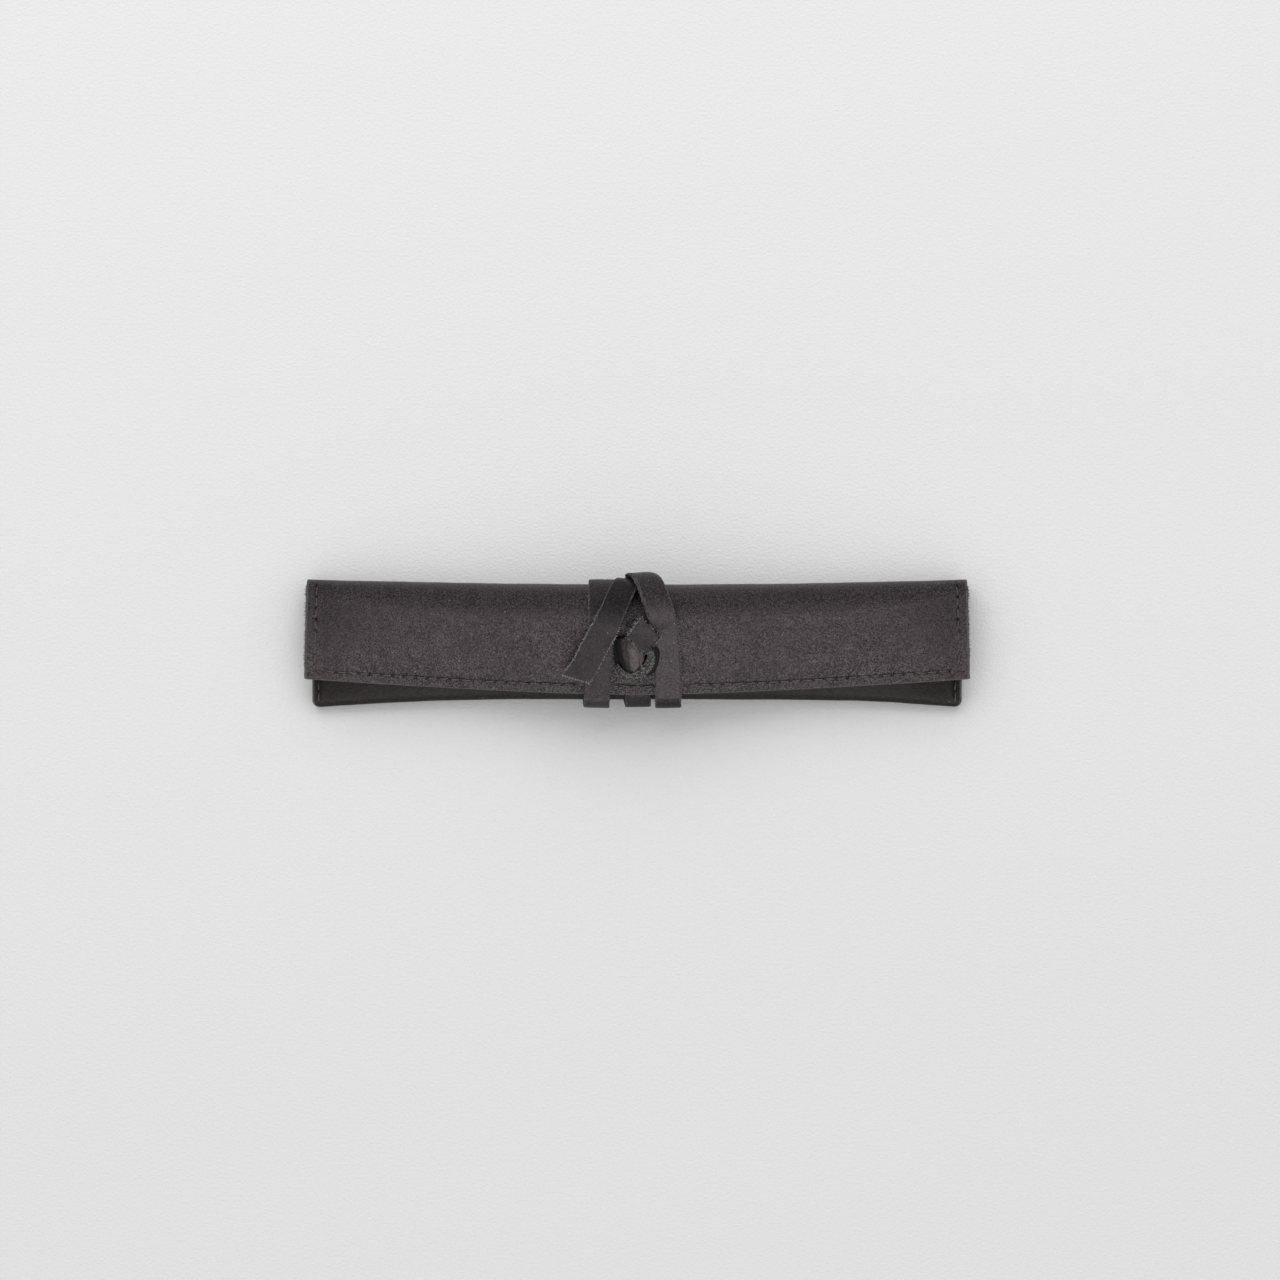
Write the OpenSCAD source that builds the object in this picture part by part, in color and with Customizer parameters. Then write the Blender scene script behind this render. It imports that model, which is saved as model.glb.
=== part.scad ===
// Single pen sleeve: one long hide folded round a pen pocket, its flap held shut
// by a narrow strap that is knotted through the flap and wound round the waist.
// X runs along the sleeve, Y across it towards the top fold, Z up from the table.

/* [Sleeve] */
// Half of the pocket's length
pocket_half = 86; // [76:1:100]
// Half of the length at the top fold
fold_half = 87.2; // [86.5:0.1:102]
// Top fold's distance from the axis at the waist
waist_top = 14.9; // [13.5:0.1:17]
// Top fold's distance from the axis at the two ends
end_top = 16.2; // [15:0.1:18]
// Bottom fold's distance from the axis at the waist
waist_low = 15.6; // [14.5:0.1:17]
// Bottom fold's distance from the axis at the two ends
end_low = 17.6; // [16.5:0.1:19]
// Clear height for the pen at the waist
pen_room = 9.2; // [7:0.1:11]
// Clear height inside the bottom fold at the waist
fold_room = 1.0; // [0.6:0.1:1.6]
// Width of the flat seam at each end of the pocket
seam_margin = 2.7; // [2.2:0.1:4]
// Height of the back above the table at the waist
back_rise = 3.3; // [3.2:0.1:4.5]

/* [Leather] */
// Thickness of the outer hide
hide_t = 1.2; // [1:0.05:1.4]
// Thickness of the lining
lining_t = 0.6; // [0.4:0.05:0.8]
// Glue line between the hide and its lining
glue_t = 0.05; // [0.03:0.01:0.08]
// Distance that the lining stops short of a side edge
lining_inset = 0.4; // [0.2:0.1:1]

/* [Flap] */
// Half of the flap's length at its free edge
flap_half = 88; // [87.5:0.1:103]
// Free edge's distance below the axis at the waist
flap_reach = 14.4; // [12.5:0.1:14.8]
// Free edge's distance below the axis at the two ends
flap_end_reach = 10.2; // [8:0.1:12]
// Air between the flap and the pocket's front
flap_gap = 0.7; // [0.5:0.05:1]
// How far the flap's corners stand up at the fold
corner_lift = 2.6; // [1.5:0.1:3.5]
// How far the flap's corners stand up at the free edge
edge_lift = 0.9; // [0.3:0.1:2]
// Distance from the free edge up to the slit for the strap
slit_up = 11.2; // [10:0.1:13]
// Air round the strap in its slit
slit_clear = 0.3; // [0.25:0.05:0.6]

/* [Strap] */
// Width of the strap
strap_w = 6.8; // [6:0.1:7]
// Thickness of the strap
strap_t = 1.1; // [0.95:0.05:1.15]
// Air between the strap and the leather under it
strap_clear = 0.15; // [0.12:0.01:0.2]
// Air between two layers of the strap
layer_gap = 0.35; // [0.32:0.01:0.4]
// Slant of the cut across the loose end, in degrees
tail_slant = 18; // [0:1:30]

/* [Knot] */
// Height of the rolled lobe
lobe_h = 3.4; // [2.6:0.1:4.2]
// Height of the curled cut edge
curl_h = 3.9; // [3:0.1:4.6]
// Thickness of the curled cut edge
curl_t = 1.4; // [1.1:0.1:1.7]
// Length of the square tab past the lobe
tab_l = 7.6; // [6:0.1:8.5]

/* [Stitching] */
// Distance from one stitch to the next
stitch_pitch = 3.0; // [2.5:0.1:4]
// Length of one stitch
stitch_l = 2.0; // [1.4:0.1:2.3]
// Diameter of the thread
thread_d = 0.45; // [0.3:0.05:0.6]
// Distance of the flap's stitches from its edge
flap_stitch_inset = 2.6; // [2:0.1:3.5]
// Distance of the side seam's stitches from the pocket's edge
seam_inset = 1.7; // [1.3:0.1:2]

/* [Hidden] */

// colours of the leather, the thread and the strap's raw edges
hide_colour = [0.25, 0.235, 0.24];
lining_colour = [0.19, 0.18, 0.185];
thread_colour = [0.1, 0.095, 0.1];
strap_colour = [0.22, 0.21, 0.215];

// one wall is a hide and its lining
wall = hide_t + glue_t + lining_t;
// the strap's room under the flap, past the plain gap
strap_room = strap_t + 2 * strap_clear - flap_gap + 0.1;
under_flat = 6;
under_end = 24;
// half-lengths between which the back comes down to the table
rise_flat = 17;
rise_end = 46;
// fullness of the pocket and bow of its two long edges
room_power = 4;
top_power = 2;
low_power = 4;
edge_power = 1.5;
// start of the lifted corners, as a share of the half-length
corner_start = 0.6;
// how far the front panel's mouth lies over its ridge, in degrees
mouth_turn = 10;
// gap in the fold between the body and the flap that turns on it, in degrees
split_angle = 2.5;
// least inner radius of a folded wall
least_bend = 0.05;
// centre of the whole, so that it stands over the origin
centre_y = (waist_top + strap_clear + 2 * strap_t + layer_gap - end_low) / 2;

// the loft's stations, as shares of the half-length
half_stations = [0, 0.07, 0.14, 0.21, 0.3, 0.4, 0.52, 0.64, 0.75, 0.84, 0.91, 0.96, 1];
last_station = len(half_stations) - 1;
stations = [
    for (i = [-last_station : last_station]) sign(i) * half_stations[abs(i)]
];

function ease(a, b, v) = let (t = min(1, max(0, (v - a) / (b - a)))) t * t * (3 - 2 * t);
function mix(a, b, t) = a + (b - a) * t;
function ray(angle) = [cos(angle), sin(angle)];
function unit(v) = v / norm(v);

// Sections of the closed sleeve at a distance x along it
function foot(x) = back_rise * (1 - ease(rise_flat, rise_end, abs(x)));
function top_y(x) = mix(waist_top, end_top, pow(abs(x) / fold_half, top_power)) - centre_y;
function low_y(x) = -mix(waist_low, end_low, pow(abs(x) / pocket_half, low_power)) - centre_y;
function fullness(x) = 1 - pow(min(1, abs(x) / (pocket_half - seam_margin)), room_power);
function under_strap(x) = strap_room * (1 - ease(under_flat, under_end, abs(x)));
function corner(x) = ease(corner_start, 1, abs(x) / fold_half);
function slack(x) = flap_gap + under_strap(x) + corner_lift * corner(x);
function low_slack(x) = flap_gap + under_strap(x) + edge_lift * corner(x);

// radius and centre of the top fold, over which the flap lies
function fold_r(x) = (3 * wall + pen_room * fullness(x) + slack(x)) / 2;
function fold_at(x) = [top_y(x) - fold_r(x), foot(x) + fold_r(x)];
// radius and centre of the bottom fold
function low_r(x) = wall + least_bend + fold_room * fullness(x);
function low_at(x) = [low_y(x) + low_r(x), foot(x) + low_r(x)];
// radius and centre of the front panel's ridge
function ridge_r(x) = max(fold_r(x) - wall - slack(x), wall + least_bend);
function ridge_at(x) =
    [fold_at(x)[0], foot(x) + 2 * wall + pen_room * fullness(x) - ridge_r(x)];

// angle of the line that lies on top of two circles, from the lower to the upper
function tangent(a, ra, b, rb) =
    atan2(b[1] - a[1], b[0] - a[0]) + acos((ra - rb) / norm(b - a));
function front_angle(x) = tangent(low_at(x), low_r(x), ridge_at(x), ridge_r(x));
function flap_low_r(x) = low_r(x) + wall + low_slack(x);
function flap_angle(x) = tangent(low_at(x), flap_low_r(x), fold_at(x), fold_r(x));

// The flap's outer face, by the distance s from its free edge
function edge_y(x) =
    -mix(flap_reach, flap_end_reach, pow(min(1, abs(x) / flap_half), edge_power)) - centre_y;
function slope_l(x) =
    let (a = flap_angle(x), top = fold_at(x)[0] + fold_r(x) * cos(a))
    (top - edge_y(x)) / sin(a);
function flap_l(x) = slope_l(x) + fold_r(x) * flap_angle(x) * PI / 180;
function flap_skin(x, s, out) =
    let (a = flap_angle(x), over = s - slope_l(x))
    over < 0
    ? fold_at(x) + (fold_r(x) + out) * ray(a) + over * [sin(a), -cos(a)]
    : fold_at(x) + (fold_r(x) + out) * ray(a - over / fold_r(x) * 180 / PI);
function flap_turn(x, s) =
    flap_angle(x) - max(0, s - slope_l(x)) / fold_r(x) * 180 / PI;

// The body's outer face, from the split at the top fold round to the pocket's mouth
function arc(at, r, from, to, n) =
    [for (i = [0 : n]) at + r * ray(mix(from, to, i / n))];
function body_skin(x, out) =
    let (
        front = front_angle(x),
        fold_arc = arc(fold_at(x), fold_r(x) + out, -split_angle, -90, 7),
        low_arc = arc(low_at(x), low_r(x) + out, 270, front, 8),
        ridge_arc = arc(ridge_at(x), ridge_r(x) + out, front, front - mouth_turn, 4)
    )
    concat(
        fold_arc,
        [for (i = [1 : 2]) mix(fold_arc[7], low_arc[0], i / 3)],
        low_arc,
        [for (i = [1 : 3]) mix(low_arc[8], ridge_arc[0], i / 4)],
        ridge_arc
    );

// A sheet lofted through rings of points that all have the same count
module loft(rings) {
    n = len(rings[0]);
    last = len(rings) - 1;
    points = [for (ring = rings) each ring];
    sides = [
        for (i = [0 : last - 1], j = [0 : n - 1])
            let (a = i * n + j, b = i * n + (j + 1) % n)
            // the inner face is cut along the same diagonals as the outer one
            each j < n / 2 ? [[a, b, b + n], [a, b + n, a + n]] : [[a, b, a + n], [b, b + n, a + n]]
    ];
    near = [for (j = [0 : n / 2 - 2]) each [[j, n - 1 - j, j + 1], [j + 1, n - 1 - j, n - 2 - j]]];
    far = [for (f = near) [f[2] + last * n, f[1] + last * n, f[0] + last * n]];
    polyhedron(points = points, faces = concat(sides, near, far), convexity = 6);
}

// A layer's stations are the hide's own, and only its last ones stop short of the edge
function inset_at(f, half, inset) = f * half - (abs(f) == 1 ? f * inset : 0);

// One wall of the body between two depths under its outer face
module body_wall(outer, inner, inset) {
    count = len(body_skin(0, 0));
    // the hide is cut longer at the top fold than at the pocket
    half = [for (j = [0 : count - 1]) mix(fold_half, pocket_half, ease(0, 7, j))];
    loft([
        for (f = stations) [
            for (j = [0 : count - 1])
                let (x = inset_at(f, half[j], inset), p = body_skin(x, -outer)[j])
                [x, p[0], p[1]],
            for (j = [count - 1 : -1 : 0])
                let (x = inset_at(f, half[j], inset), p = body_skin(x, -inner)[j])
                [x, p[0], p[1]]
        ]
    ]);
}

// One layer of the flap between two depths under its outer face
flap_steps = 17;
module flap_layer(outer, inner, inset) {
    loft([
        for (f = stations) [
            for (j = [0 : flap_steps]) flap_point(f, j, outer, inset),
            for (j = [flap_steps : -1 : 0]) flap_point(f, j, inner, inset)
        ]
    ]);
}
function flap_point(f, j, depth, inset) =
    let (
        x = inset_at(f, mix(flap_half, fold_half, j / flap_steps), inset),
        p = flap_skin(x, mix(inset / 2, flap_l(x) - inset / 4, j / flap_steps), -depth)
    )
    [x, p[0], p[1]];

// Place of the knot: on the flap's slope, X along the sleeve, Y up the slope, Z outwards
slit_x = 0.4;
module on_slope() {
    at = flap_skin(0, slit_up, 0);
    translate([0, at[0], at[1]]) rotate([flap_angle(0) - 90, 0, 0]) children();
}

// The strap's neck through the slit, and the slit, which is larger by its air
neck_top = 1.2;
neck_drop = wall + low_slack(0) - strap_clear;
module neck(air, top, drop) {
    translate([slit_x - strap_w / 2 - air, -strap_t / 2 - air, -drop])
        cube([strap_w + 2 * air, strap_t + 2 * air, top + drop]);
}
module slit() {
    on_slope() neck(slit_clear, wall, 2 * wall);
}

// The outline that the strap follows: 0 is under the top fold, 1 and 2 are the ends
// of the flap's slope, 3 is under the bottom fold, and 4 is back under the top fold
tuck_angle = 188;
function rim(x, c, out, under) =
    let (
        q = c - 4 * floor(c / 4),
        b = low_at(x),
        rb = low_r(x),
        r1 = under ? rb : flap_low_r(x),
        t = under ? ridge_at(x) : fold_at(x),
        r2 = under ? ridge_r(x) : fold_r(x),
        a = tangent(b, r1, t, r2)
    )
    q < 1 ? t + (r2 + out) * ray(mix(-90, a, q))
    : q < 2 ? mix(t + (r2 + out) * ray(a), b + (r1 + out) * ray(a), q - 1)
    : q < 3
    ? let (turn = mix(a, 270, q - 2), r = mix(r1, rb, ease(a, tuck_angle, turn)))
      b + (r + out) * ray(turn)
    : mix([b[0], foot(x) - out], [t[0], foot(x) - out], q - 3);
function on_rim(x, c, out, under) = let (p = rim(x, c, out, under)) [x, p[0], p[1]];

// Height of the strap's middle over the leather in its first, second and third layer
layer_step = strap_t + layer_gap;
layer_1 = strap_clear + strap_t / 2;
layer_2 = layer_1 + layer_step;
layer_3 = layer_2 + layer_step;

// a small step along the rim
nudge = 0.01;
// Where the strap leaves its neck, as a place on the rim under the flap
neck_foot = flap_skin(0, slit_up, -neck_drop)[0] - strap_t / 2 - slit_clear;
under_top = rim(0, 1, layer_1, true)[0];
under_low = rim(0, 2 - nudge, layer_1, true)[0];
strap_start = 1 + (under_top - neck_foot) / (under_top - under_low);

// The strap's route: place on the rim, distance along the sleeve, and layer
route = [
    [1.3, 0.4, layer_1], [2.0, 0.3, layer_1], [2.5, 0.2, layer_1],
    [3.0, -0.8, layer_1], [3.5, -4.6, layer_1], [4.0, -8.4, layer_1],
    [4.45, -9.3, layer_1], [5.0, -9.4, layer_1], [5.5, -9.9, layer_1],
    [6.0, -10.6, layer_1], [6.6, -10.9, layer_1], [6.72, -10.9, layer_1],
    [7.08, -10.2, layer_2], [7.5, -5.2, layer_2], [8.0, -0.2, layer_2],
    [8.42, 1.2, layer_2], [8.6, 2.6, layer_3], [8.7, 3.8, layer_3],
    [8.86, 6.0, layer_2], [9.0, 7.2, layer_1], [9.06, 7.33, layer_1],
    [9.5, 8.0, layer_1], [10.0, 8.2, layer_1], [10.5, 8.2, layer_1],
    [11.0, 7.6, layer_1], [11.5, 3.6, layer_1], [12.0, -0.2, layer_1],
    [12.4, -0.98, layer_1], [12.47, -1.2, layer_1],
    [12.63, -2.8, layer_2], [12.7, -3.8, layer_2], [12.87, -6.3, layer_2],
    [13.0, -8.4, layer_2], [13.5, -13.4, layer_2], [14.0, -18.5, layer_2]
];
// the route runs under the flap up to here
under_to = 2.95;
// where the wound part ends and the loose end begins, and where the loose end is cut
wrap_end = 12.66;
tail_start = 12.67;
tail_end = 13.71;

// A smooth curve through the route's points
function find(c, i = 0) = i >= len(route) - 2 || route[i + 1][0] > c ? i : find(c, i + 1);
function slope_at(i, k) =
    i <= 0 || i >= len(route) - 1
    ? 0
    : (route[i + 1][k] - route[i - 1][k]) / (route[i + 1][0] - route[i - 1][0]);
function along_route(c, k) =
    let (
        i = find(c),
        p = route[i],
        q = route[i + 1],
        w = q[0] - p[0],
        t = (c - p[0]) / w,
        m = slope_at(i, k) * w,
        n = slope_at(i + 1, k) * w
    )
    mix(p[k], q[k], t * t * (3 - 2 * t)) + m * t * (1 - t) * (1 - t) - n * t * t * (1 - t);
function strap_mid(c, out = 0) =
    on_rim(along_route(c, 1), c, along_route(c, 2) + out, c < under_to);

// Frame of the strap at a place on its route: middle, width, outward and forward
function strap_frame(c) =
    let (
        x = along_route(c, 1),
        out = along_route(c, 2),
        under = c < under_to,
        across = on_rim(x + 1, c, out, under) - on_rim(x - 1, c, out, under),
        round_rim = on_rim(x, c + nudge, out, under) - on_rim(x, c - nudge, out, under),
        outward = unit(cross(round_rim, across)),
        forward = unit(strap_mid(c + nudge) - strap_mid(c - nudge)),
        width = unit(cross(outward, forward))
    )
    [strap_mid(c), width, cross(forward, width), forward];

// Outline of the strap's cut face, with its edges a little rounded
edge_round = 0.35;
strap_face = let (w = strap_w / 2, t = strap_t / 2, e = edge_round)
    [[w, -t + e], [w, t - e], [w - e, t], [-w + e, t],
     [-w, t - e], [-w, -t + e], [-w + e, -t], [w - e, -t]];
function strap_ring(frame, skew = 0) = [
    for (p = strap_face)
        frame[0] + p[0] * frame[1] + p[1] * frame[2] + skew * p[0] * frame[3]
];

// Rings follow the rim closely in the folds and widely on the flats
fold_rings = 16;
slope_rings = 5;
low_rings = 9;
back_rings = 6;
rings_per_part = [fold_rings, slope_rings, low_rings, back_rings];
function places(from, to) = [
    from,
    for (k = [floor(from) : floor(to)], i = [0 : rings_per_part[k % 4] - 1])
        let (c = k + i / rings_per_part[k % 4])
        if (c > from + nudge && c < to - nudge) c,
    to
];
wrap_places = places(strap_start, wrap_end);
tail_places = places(tail_start, tail_end);

// Faces of a swept band with flat ends
module sweep(rings) {
    n = len(rings[0]);
    last = len(rings) - 1;
    sides = [
        for (i = [0 : last - 1], j = [0 : n - 1])
            let (a = i * n + j, b = i * n + (j + 1) % n)
            each [[a, b + n, b], [a, a + n, b + n]]
    ];
    start = [[for (j = [0 : n - 1]) j]];
    end = [[for (j = [n - 1 : -1 : 0]) last * n + j]];
    polyhedron([for (ring = rings) each ring], concat(sides, start, end), convexity = 8);
}

// Least gap between one stretch of the strap and another, measured on its points
wrap_frames = [for (c = wrap_places) strap_frame(c)];
far_apart = 14;
ring_reach = 1.6;
function band_gap(p, frame) =
    let (d = p - frame[0], f = abs(d * frame[3]))
    f > ring_reach
    ? 99
    : norm([max(0, abs(d * frame[1]) - strap_w / 2), max(0, abs(d * frame[2]) - strap_t / 2)]);
least_gap = min([
    for (i = [0 : len(wrap_frames) - 1])
        let (ring = strap_ring(wrap_frames[i]))
        for (j = [0 : len(wrap_frames) - 1])
            if (abs(i - j) > far_apart && norm(wrap_frames[i][0] - wrap_frames[j][0]) < strap_w * 1.5)
                min([for (p = ring) band_gap(p, wrap_frames[j])])
]);
echo(strap_least_gap = least_gap);

// One straight stitch, lying on a face whose outward angle is turn
module stitch(x, at, turn, lengthways) {
    translate([x, at[0], at[1]])
        rotate([turn, 0, 0])
            rotate([0, lengthways ? 90 : 0, 0])
                cylinder(h = stitch_l, d = thread_d, center = true, $fn = 24);
}
stitch_out = 0.06 + thread_d / 2;

// The flap's outer face as its flat facets have it, which the stitches lie on
function station_below(share, i = 0) =
    i >= last_station - 1 || half_stations[i + 1] > share ? i : station_below(share, i + 1);
function on_facet(x, s, out) =
    let (
        share = min(1, abs(x) / flap_half),
        i = station_below(share),
        from = half_stations[i],
        to = half_stations[i + 1]
    )
    mix(
        flap_skin(from * flap_half, s, out),
        flap_skin(to * flap_half, s, out),
        (share - from) / (to - from)
    );

module body_hide() {
    color(hide_colour) body_wall(0, hide_t, 0);
}

module body_lining() {
    color(lining_colour) body_wall(hide_t + glue_t, wall, lining_inset);
}

module flap_hide() {
    color(hide_colour) difference() {
        flap_layer(0, hide_t, 0);
        slit();
    }
}

module flap_lining() {
    color(lining_colour) difference() {
        flap_layer(hide_t + glue_t, wall, lining_inset);
        slit();
    }
}

// Rows along the free edge and up both sides of the flap. The strap's two bands press
// the stitches under them flat, so these are left out
row_half = flap_half - flap_stitch_inset;
band_x = [-10.7, 8.2];
function under_band(x) =
    min([for (b = band_x) abs(x - b)]) < (strap_w + stitch_l) / 2 + thread_d;
module flap_stitching() {
    count = floor(row_half / stitch_pitch - 0.5);
    color(thread_colour) {
        for (i = [-count : count]) {
            x = i * stitch_pitch;
            s = flap_stitch_inset;
            if (!under_band(x)) stitch(x, on_facet(x, s, stitch_out), flap_turn(x, s), true);
        }
        for (side = [-1, 1]) {
            x = side * (fold_half - flap_stitch_inset);
            for (s = [flap_stitch_inset + stitch_pitch : stitch_pitch : flap_l(x) - stitch_pitch])
                stitch(x, on_facet(x, s, stitch_out), flap_turn(x, s), false);
        }
    }
}

// A seam that closes one end of the pocket, its stitches on the flat margin
module seam_stitching(side) {
    x = side * (pocket_half - seam_inset);
    from = low_at(x)[0] + 0.5;
    to = ridge_at(x)[0] - stitch_l;
    // the end's last facet starts on the pocket, which is a little fuller there
    last = pocket_half * half_stations[last_station - 1];
    swell = pen_room * fullness(last) * (pocket_half - abs(x)) / (pocket_half - last);
    z = foot(x) + 2 * (wall + least_bend) + swell + stitch_out;
    color(thread_colour)
        for (y = [from : stitch_pitch : to]) stitch(x, [y, z], 90, false);
}
module left_seam_stitching() { seam_stitching(-1); }
module right_seam_stitching() { seam_stitching(1); }

module strap_wrap() {
    color(strap_colour) sweep([for (frame = wrap_frames) strap_ring(frame)]);
}

module strap_tail() {
    color(strap_colour) sweep([
        for (c = tail_places)
            strap_ring(strap_frame(c), -tan(tail_slant) * ease(tail_end - 0.3, tail_end, c))
    ]);
}

// The knot: a rolled lobe over the slit, a curled cut edge round it and a square tab,
// all one piece with the neck. Places are on the flap's slope
knot_clear = strap_clear + 0.05;
lobe_r = 2.8;
lobe_from = [-2.2, 4.4];
lobe_to = [-0.5, -1.4];
lobe_sides = 32;
curl_at = [-1.1, 0.1];
curl_r = 4.55;
curl_from = -150;
curl_to = 42;
curl_steps = 16;
// height of the curl's two ends, as a share of its middle's
curl_end = 0.55;
tab_angle = 55;
tab_from = [-1.2, 3.3];
tab_clear = strap_t + strap_clear + layer_gap;

module lobe() {
    intersection() {
        hull() {
            for (at = [lobe_from, lobe_to])
                translate([at[0], at[1], lobe_h - lobe_r]) sphere(lobe_r, $fn = lobe_sides);
        }
        translate([-slit_up, -slit_up, knot_clear]) cube(2 * slit_up);
    }
}

module curl() {
    inner = curl_r - curl_t / 2;
    outer = curl_r + curl_t / 2;
    turns = [for (i = [0 : curl_steps]) mix(curl_from, curl_to, i / curl_steps)];
    rise = [for (i = [0 : curl_steps]) mix(curl_end, 1, sin(180 * i / curl_steps))];
    translate([curl_at[0], curl_at[1], knot_clear])
        sweep([
            for (i = [0 : curl_steps])
                let (d = ray(turns[i]), h = (curl_h - knot_clear) * rise[i], e = edge_round)
                [
                    [d[0] * inner, d[1] * inner, 0],
                    [d[0] * inner, d[1] * inner, h - e],
                    [d[0] * (inner + e), d[1] * (inner + e), h],
                    [d[0] * (outer - e), d[1] * (outer - e), h],
                    [d[0] * outer, d[1] * outer, h - e],
                    [d[0] * outer, d[1] * outer, 0]
                ]
        ]);
}

module tab() {
    translate([tab_from[0], tab_from[1], tab_clear])
        rotate([0, 0, tab_angle])
            translate([0, -strap_w / 2, 0]) cube([tab_l, strap_w, strap_t]);
}

// The rolled leather between the lobe and its curled edge
module knot_base() {
    translate([curl_at[0], curl_at[1], knot_clear]) cylinder(h = strap_t, r = curl_r, $fn = 48);
}

module strap_knot() {
    color(strap_colour) on_slope() {
        lobe();
        curl();
        tab();
        knot_base();
        neck(0, neck_top, neck_drop);
    }
}

body_hide();
body_lining();
flap_hide();
flap_lining();
flap_stitching();
left_seam_stitching();
right_seam_stitching();
strap_wrap();
strap_knot();
strap_tail();
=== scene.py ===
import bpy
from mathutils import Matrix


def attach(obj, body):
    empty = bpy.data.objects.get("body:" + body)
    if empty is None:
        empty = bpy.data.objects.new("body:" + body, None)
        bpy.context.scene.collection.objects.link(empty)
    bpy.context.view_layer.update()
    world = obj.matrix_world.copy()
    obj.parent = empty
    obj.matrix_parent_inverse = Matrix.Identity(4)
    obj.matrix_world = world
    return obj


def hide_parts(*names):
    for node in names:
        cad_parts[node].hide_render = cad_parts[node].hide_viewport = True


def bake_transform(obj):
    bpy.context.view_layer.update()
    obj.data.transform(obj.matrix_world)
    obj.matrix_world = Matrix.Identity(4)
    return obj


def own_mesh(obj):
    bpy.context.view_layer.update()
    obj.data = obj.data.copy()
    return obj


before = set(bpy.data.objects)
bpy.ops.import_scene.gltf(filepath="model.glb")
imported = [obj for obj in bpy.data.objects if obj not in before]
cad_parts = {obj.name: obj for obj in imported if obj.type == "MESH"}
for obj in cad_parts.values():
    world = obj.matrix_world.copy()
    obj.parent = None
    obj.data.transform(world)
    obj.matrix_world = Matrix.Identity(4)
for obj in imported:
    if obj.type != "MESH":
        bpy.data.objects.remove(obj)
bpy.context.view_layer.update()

import functools
import math
import random
from types import SimpleNamespace

import bmesh
import bpy
from mathutils import Vector, noise

mm = 0.001      # shapes are worked out in millimetres and scaled once, in makeMesh


def addObject(name, data):
    made = bpy.data.objects.new(name, data)
    bpy.context.scene.collection.objects.link(made)
    return made


# the camera looks straight down, as in the photograph
view = SimpleNamespace(**{
    "pixels": 1280, "pixelMm": 0.2643,      # the photograph's width, and what one of its pixels covers
    "aim": (0.79, 0.16, 8.0), "lens": 200.0, "sensor": 36.0, "clipEnd": 10,
})
cameraData = bpy.data.cameras.new("camera")
cameraData.lens, cameraData.sensor_width, cameraData.clip_end = view.lens, view.sensor, view.clipEnd
camera = addObject("camera", cameraData)
distance = view.pixelMm * view.pixels * view.lens / view.sensor
aimX, aimY, aimZ = view.aim
camera.location = [v * mm for v in (aimX, aimY, aimZ + distance)]
bpy.context.scene.camera = camera

room = SimpleNamespace(**{
    "world": 0.70,
    # each lamp: its place and size (mm), its watts, and whether it shines only in the leather's gloss
    "lamps": {
        "front": ((0, -480, 690), (1500, 840), 14.0, True),
        "glint": ((30, -600, 640), (260, 130), 1.0, True),
        "back": ((-180, 1140, 960), (1950, 1200), 13.2, False),
    },
})
world = bpy.data.worlds.new("room")
world.use_nodes = True
background = world.node_tree.nodes["Background"]
background.inputs["Color"].default_value = (1, 1, 1, 1)
background.inputs["Strength"].default_value = room.world
bpy.context.scene.world = world
for name, (stand, size, watts, onlyGloss) in room.lamps.items():
    lamp = bpy.data.lights.new(name, "AREA")
    lamp.shape, lamp.energy = "RECTANGLE", watts
    lamp.size, lamp.size_y = size[0] * mm, size[1] * mm
    lampObject = addObject(name, lamp)
    lampObject.location = [v * mm for v in stand]
    lampObject.rotation_euler = (-Vector(stand)).to_track_quat("-Z", "Y").to_euler()
    lampObject.visible_glossy, lampObject.visible_diffuse = onlyGloss, not onlyGloss
bpy.context.scene.view_settings.view_transform = "Standard"
print("camera and lights ready")


def newGroup(name, ins, outs):
    # ins: each number's default, or None for a vector; outs: the numbers it gives
    tree = bpy.data.node_groups.new(name, "ShaderNodeTree")
    for label, value in ins.items():
        kind = "NodeSocketVector" if value is None else "NodeSocketFloat"
        socket = tree.interface.new_socket(label, in_out="INPUT", socket_type=kind)
        if value is not None:
            socket.default_value = value
    for label in outs:
        tree.interface.new_socket(label, in_out="OUTPUT", socket_type="NodeSocketFloat")
    return tree, tree.nodes.new("NodeGroupInput").outputs, tree.nodes.new("NodeGroupOutput").inputs


def node(tree, kind, props=None, **inputs):
    # inputs go by name, or by place as i0, i1 and so on
    made = tree.nodes.new(kind)
    for key, value in (props or {}).items():
        setattr(made, key, value)
    for key, value in inputs.items():
        byPlace = key[0] == "i" and key[1:].isdigit()
        socket = made.inputs[int(key[1:]) if byPlace else key]
        if isinstance(value, bpy.types.NodeSocket):
            tree.links.new(value, socket)
        else:
            socket.default_value = value
    return made


def calc(tree, operation, a, b):
    return node(tree, "ShaderNodeMath", {"operation": operation}, i0=a, i1=b).outputs[0]


def weighed(tree, *pairs):
    # the sum of several values, each times its share
    terms = [calc(tree, "MULTIPLY", value, share) for value, share in pairs]
    return functools.reduce(lambda a, b: calc(tree, "ADD", a, b), terms)


def span(tree, value, low, high, toLow=0.0, toHigh=1.0):
    return node(tree, "ShaderNodeMapRange", {"interpolation_type": "SMOOTHSTEP"},
                i0=value, i1=low, i2=high, i3=toLow, i4=toHigh).outputs[0]


def scaleBy(tree, vector, scale):
    return node(tree, "ShaderNodeVectorMath", {"operation": "SCALE"}, i0=vector, Scale=scale).outputs[0]


def noiseAt(tree, vector, **values):
    return node(tree, "ShaderNodeTexNoise", {}, Vector=vector, **values).outputs


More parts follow.
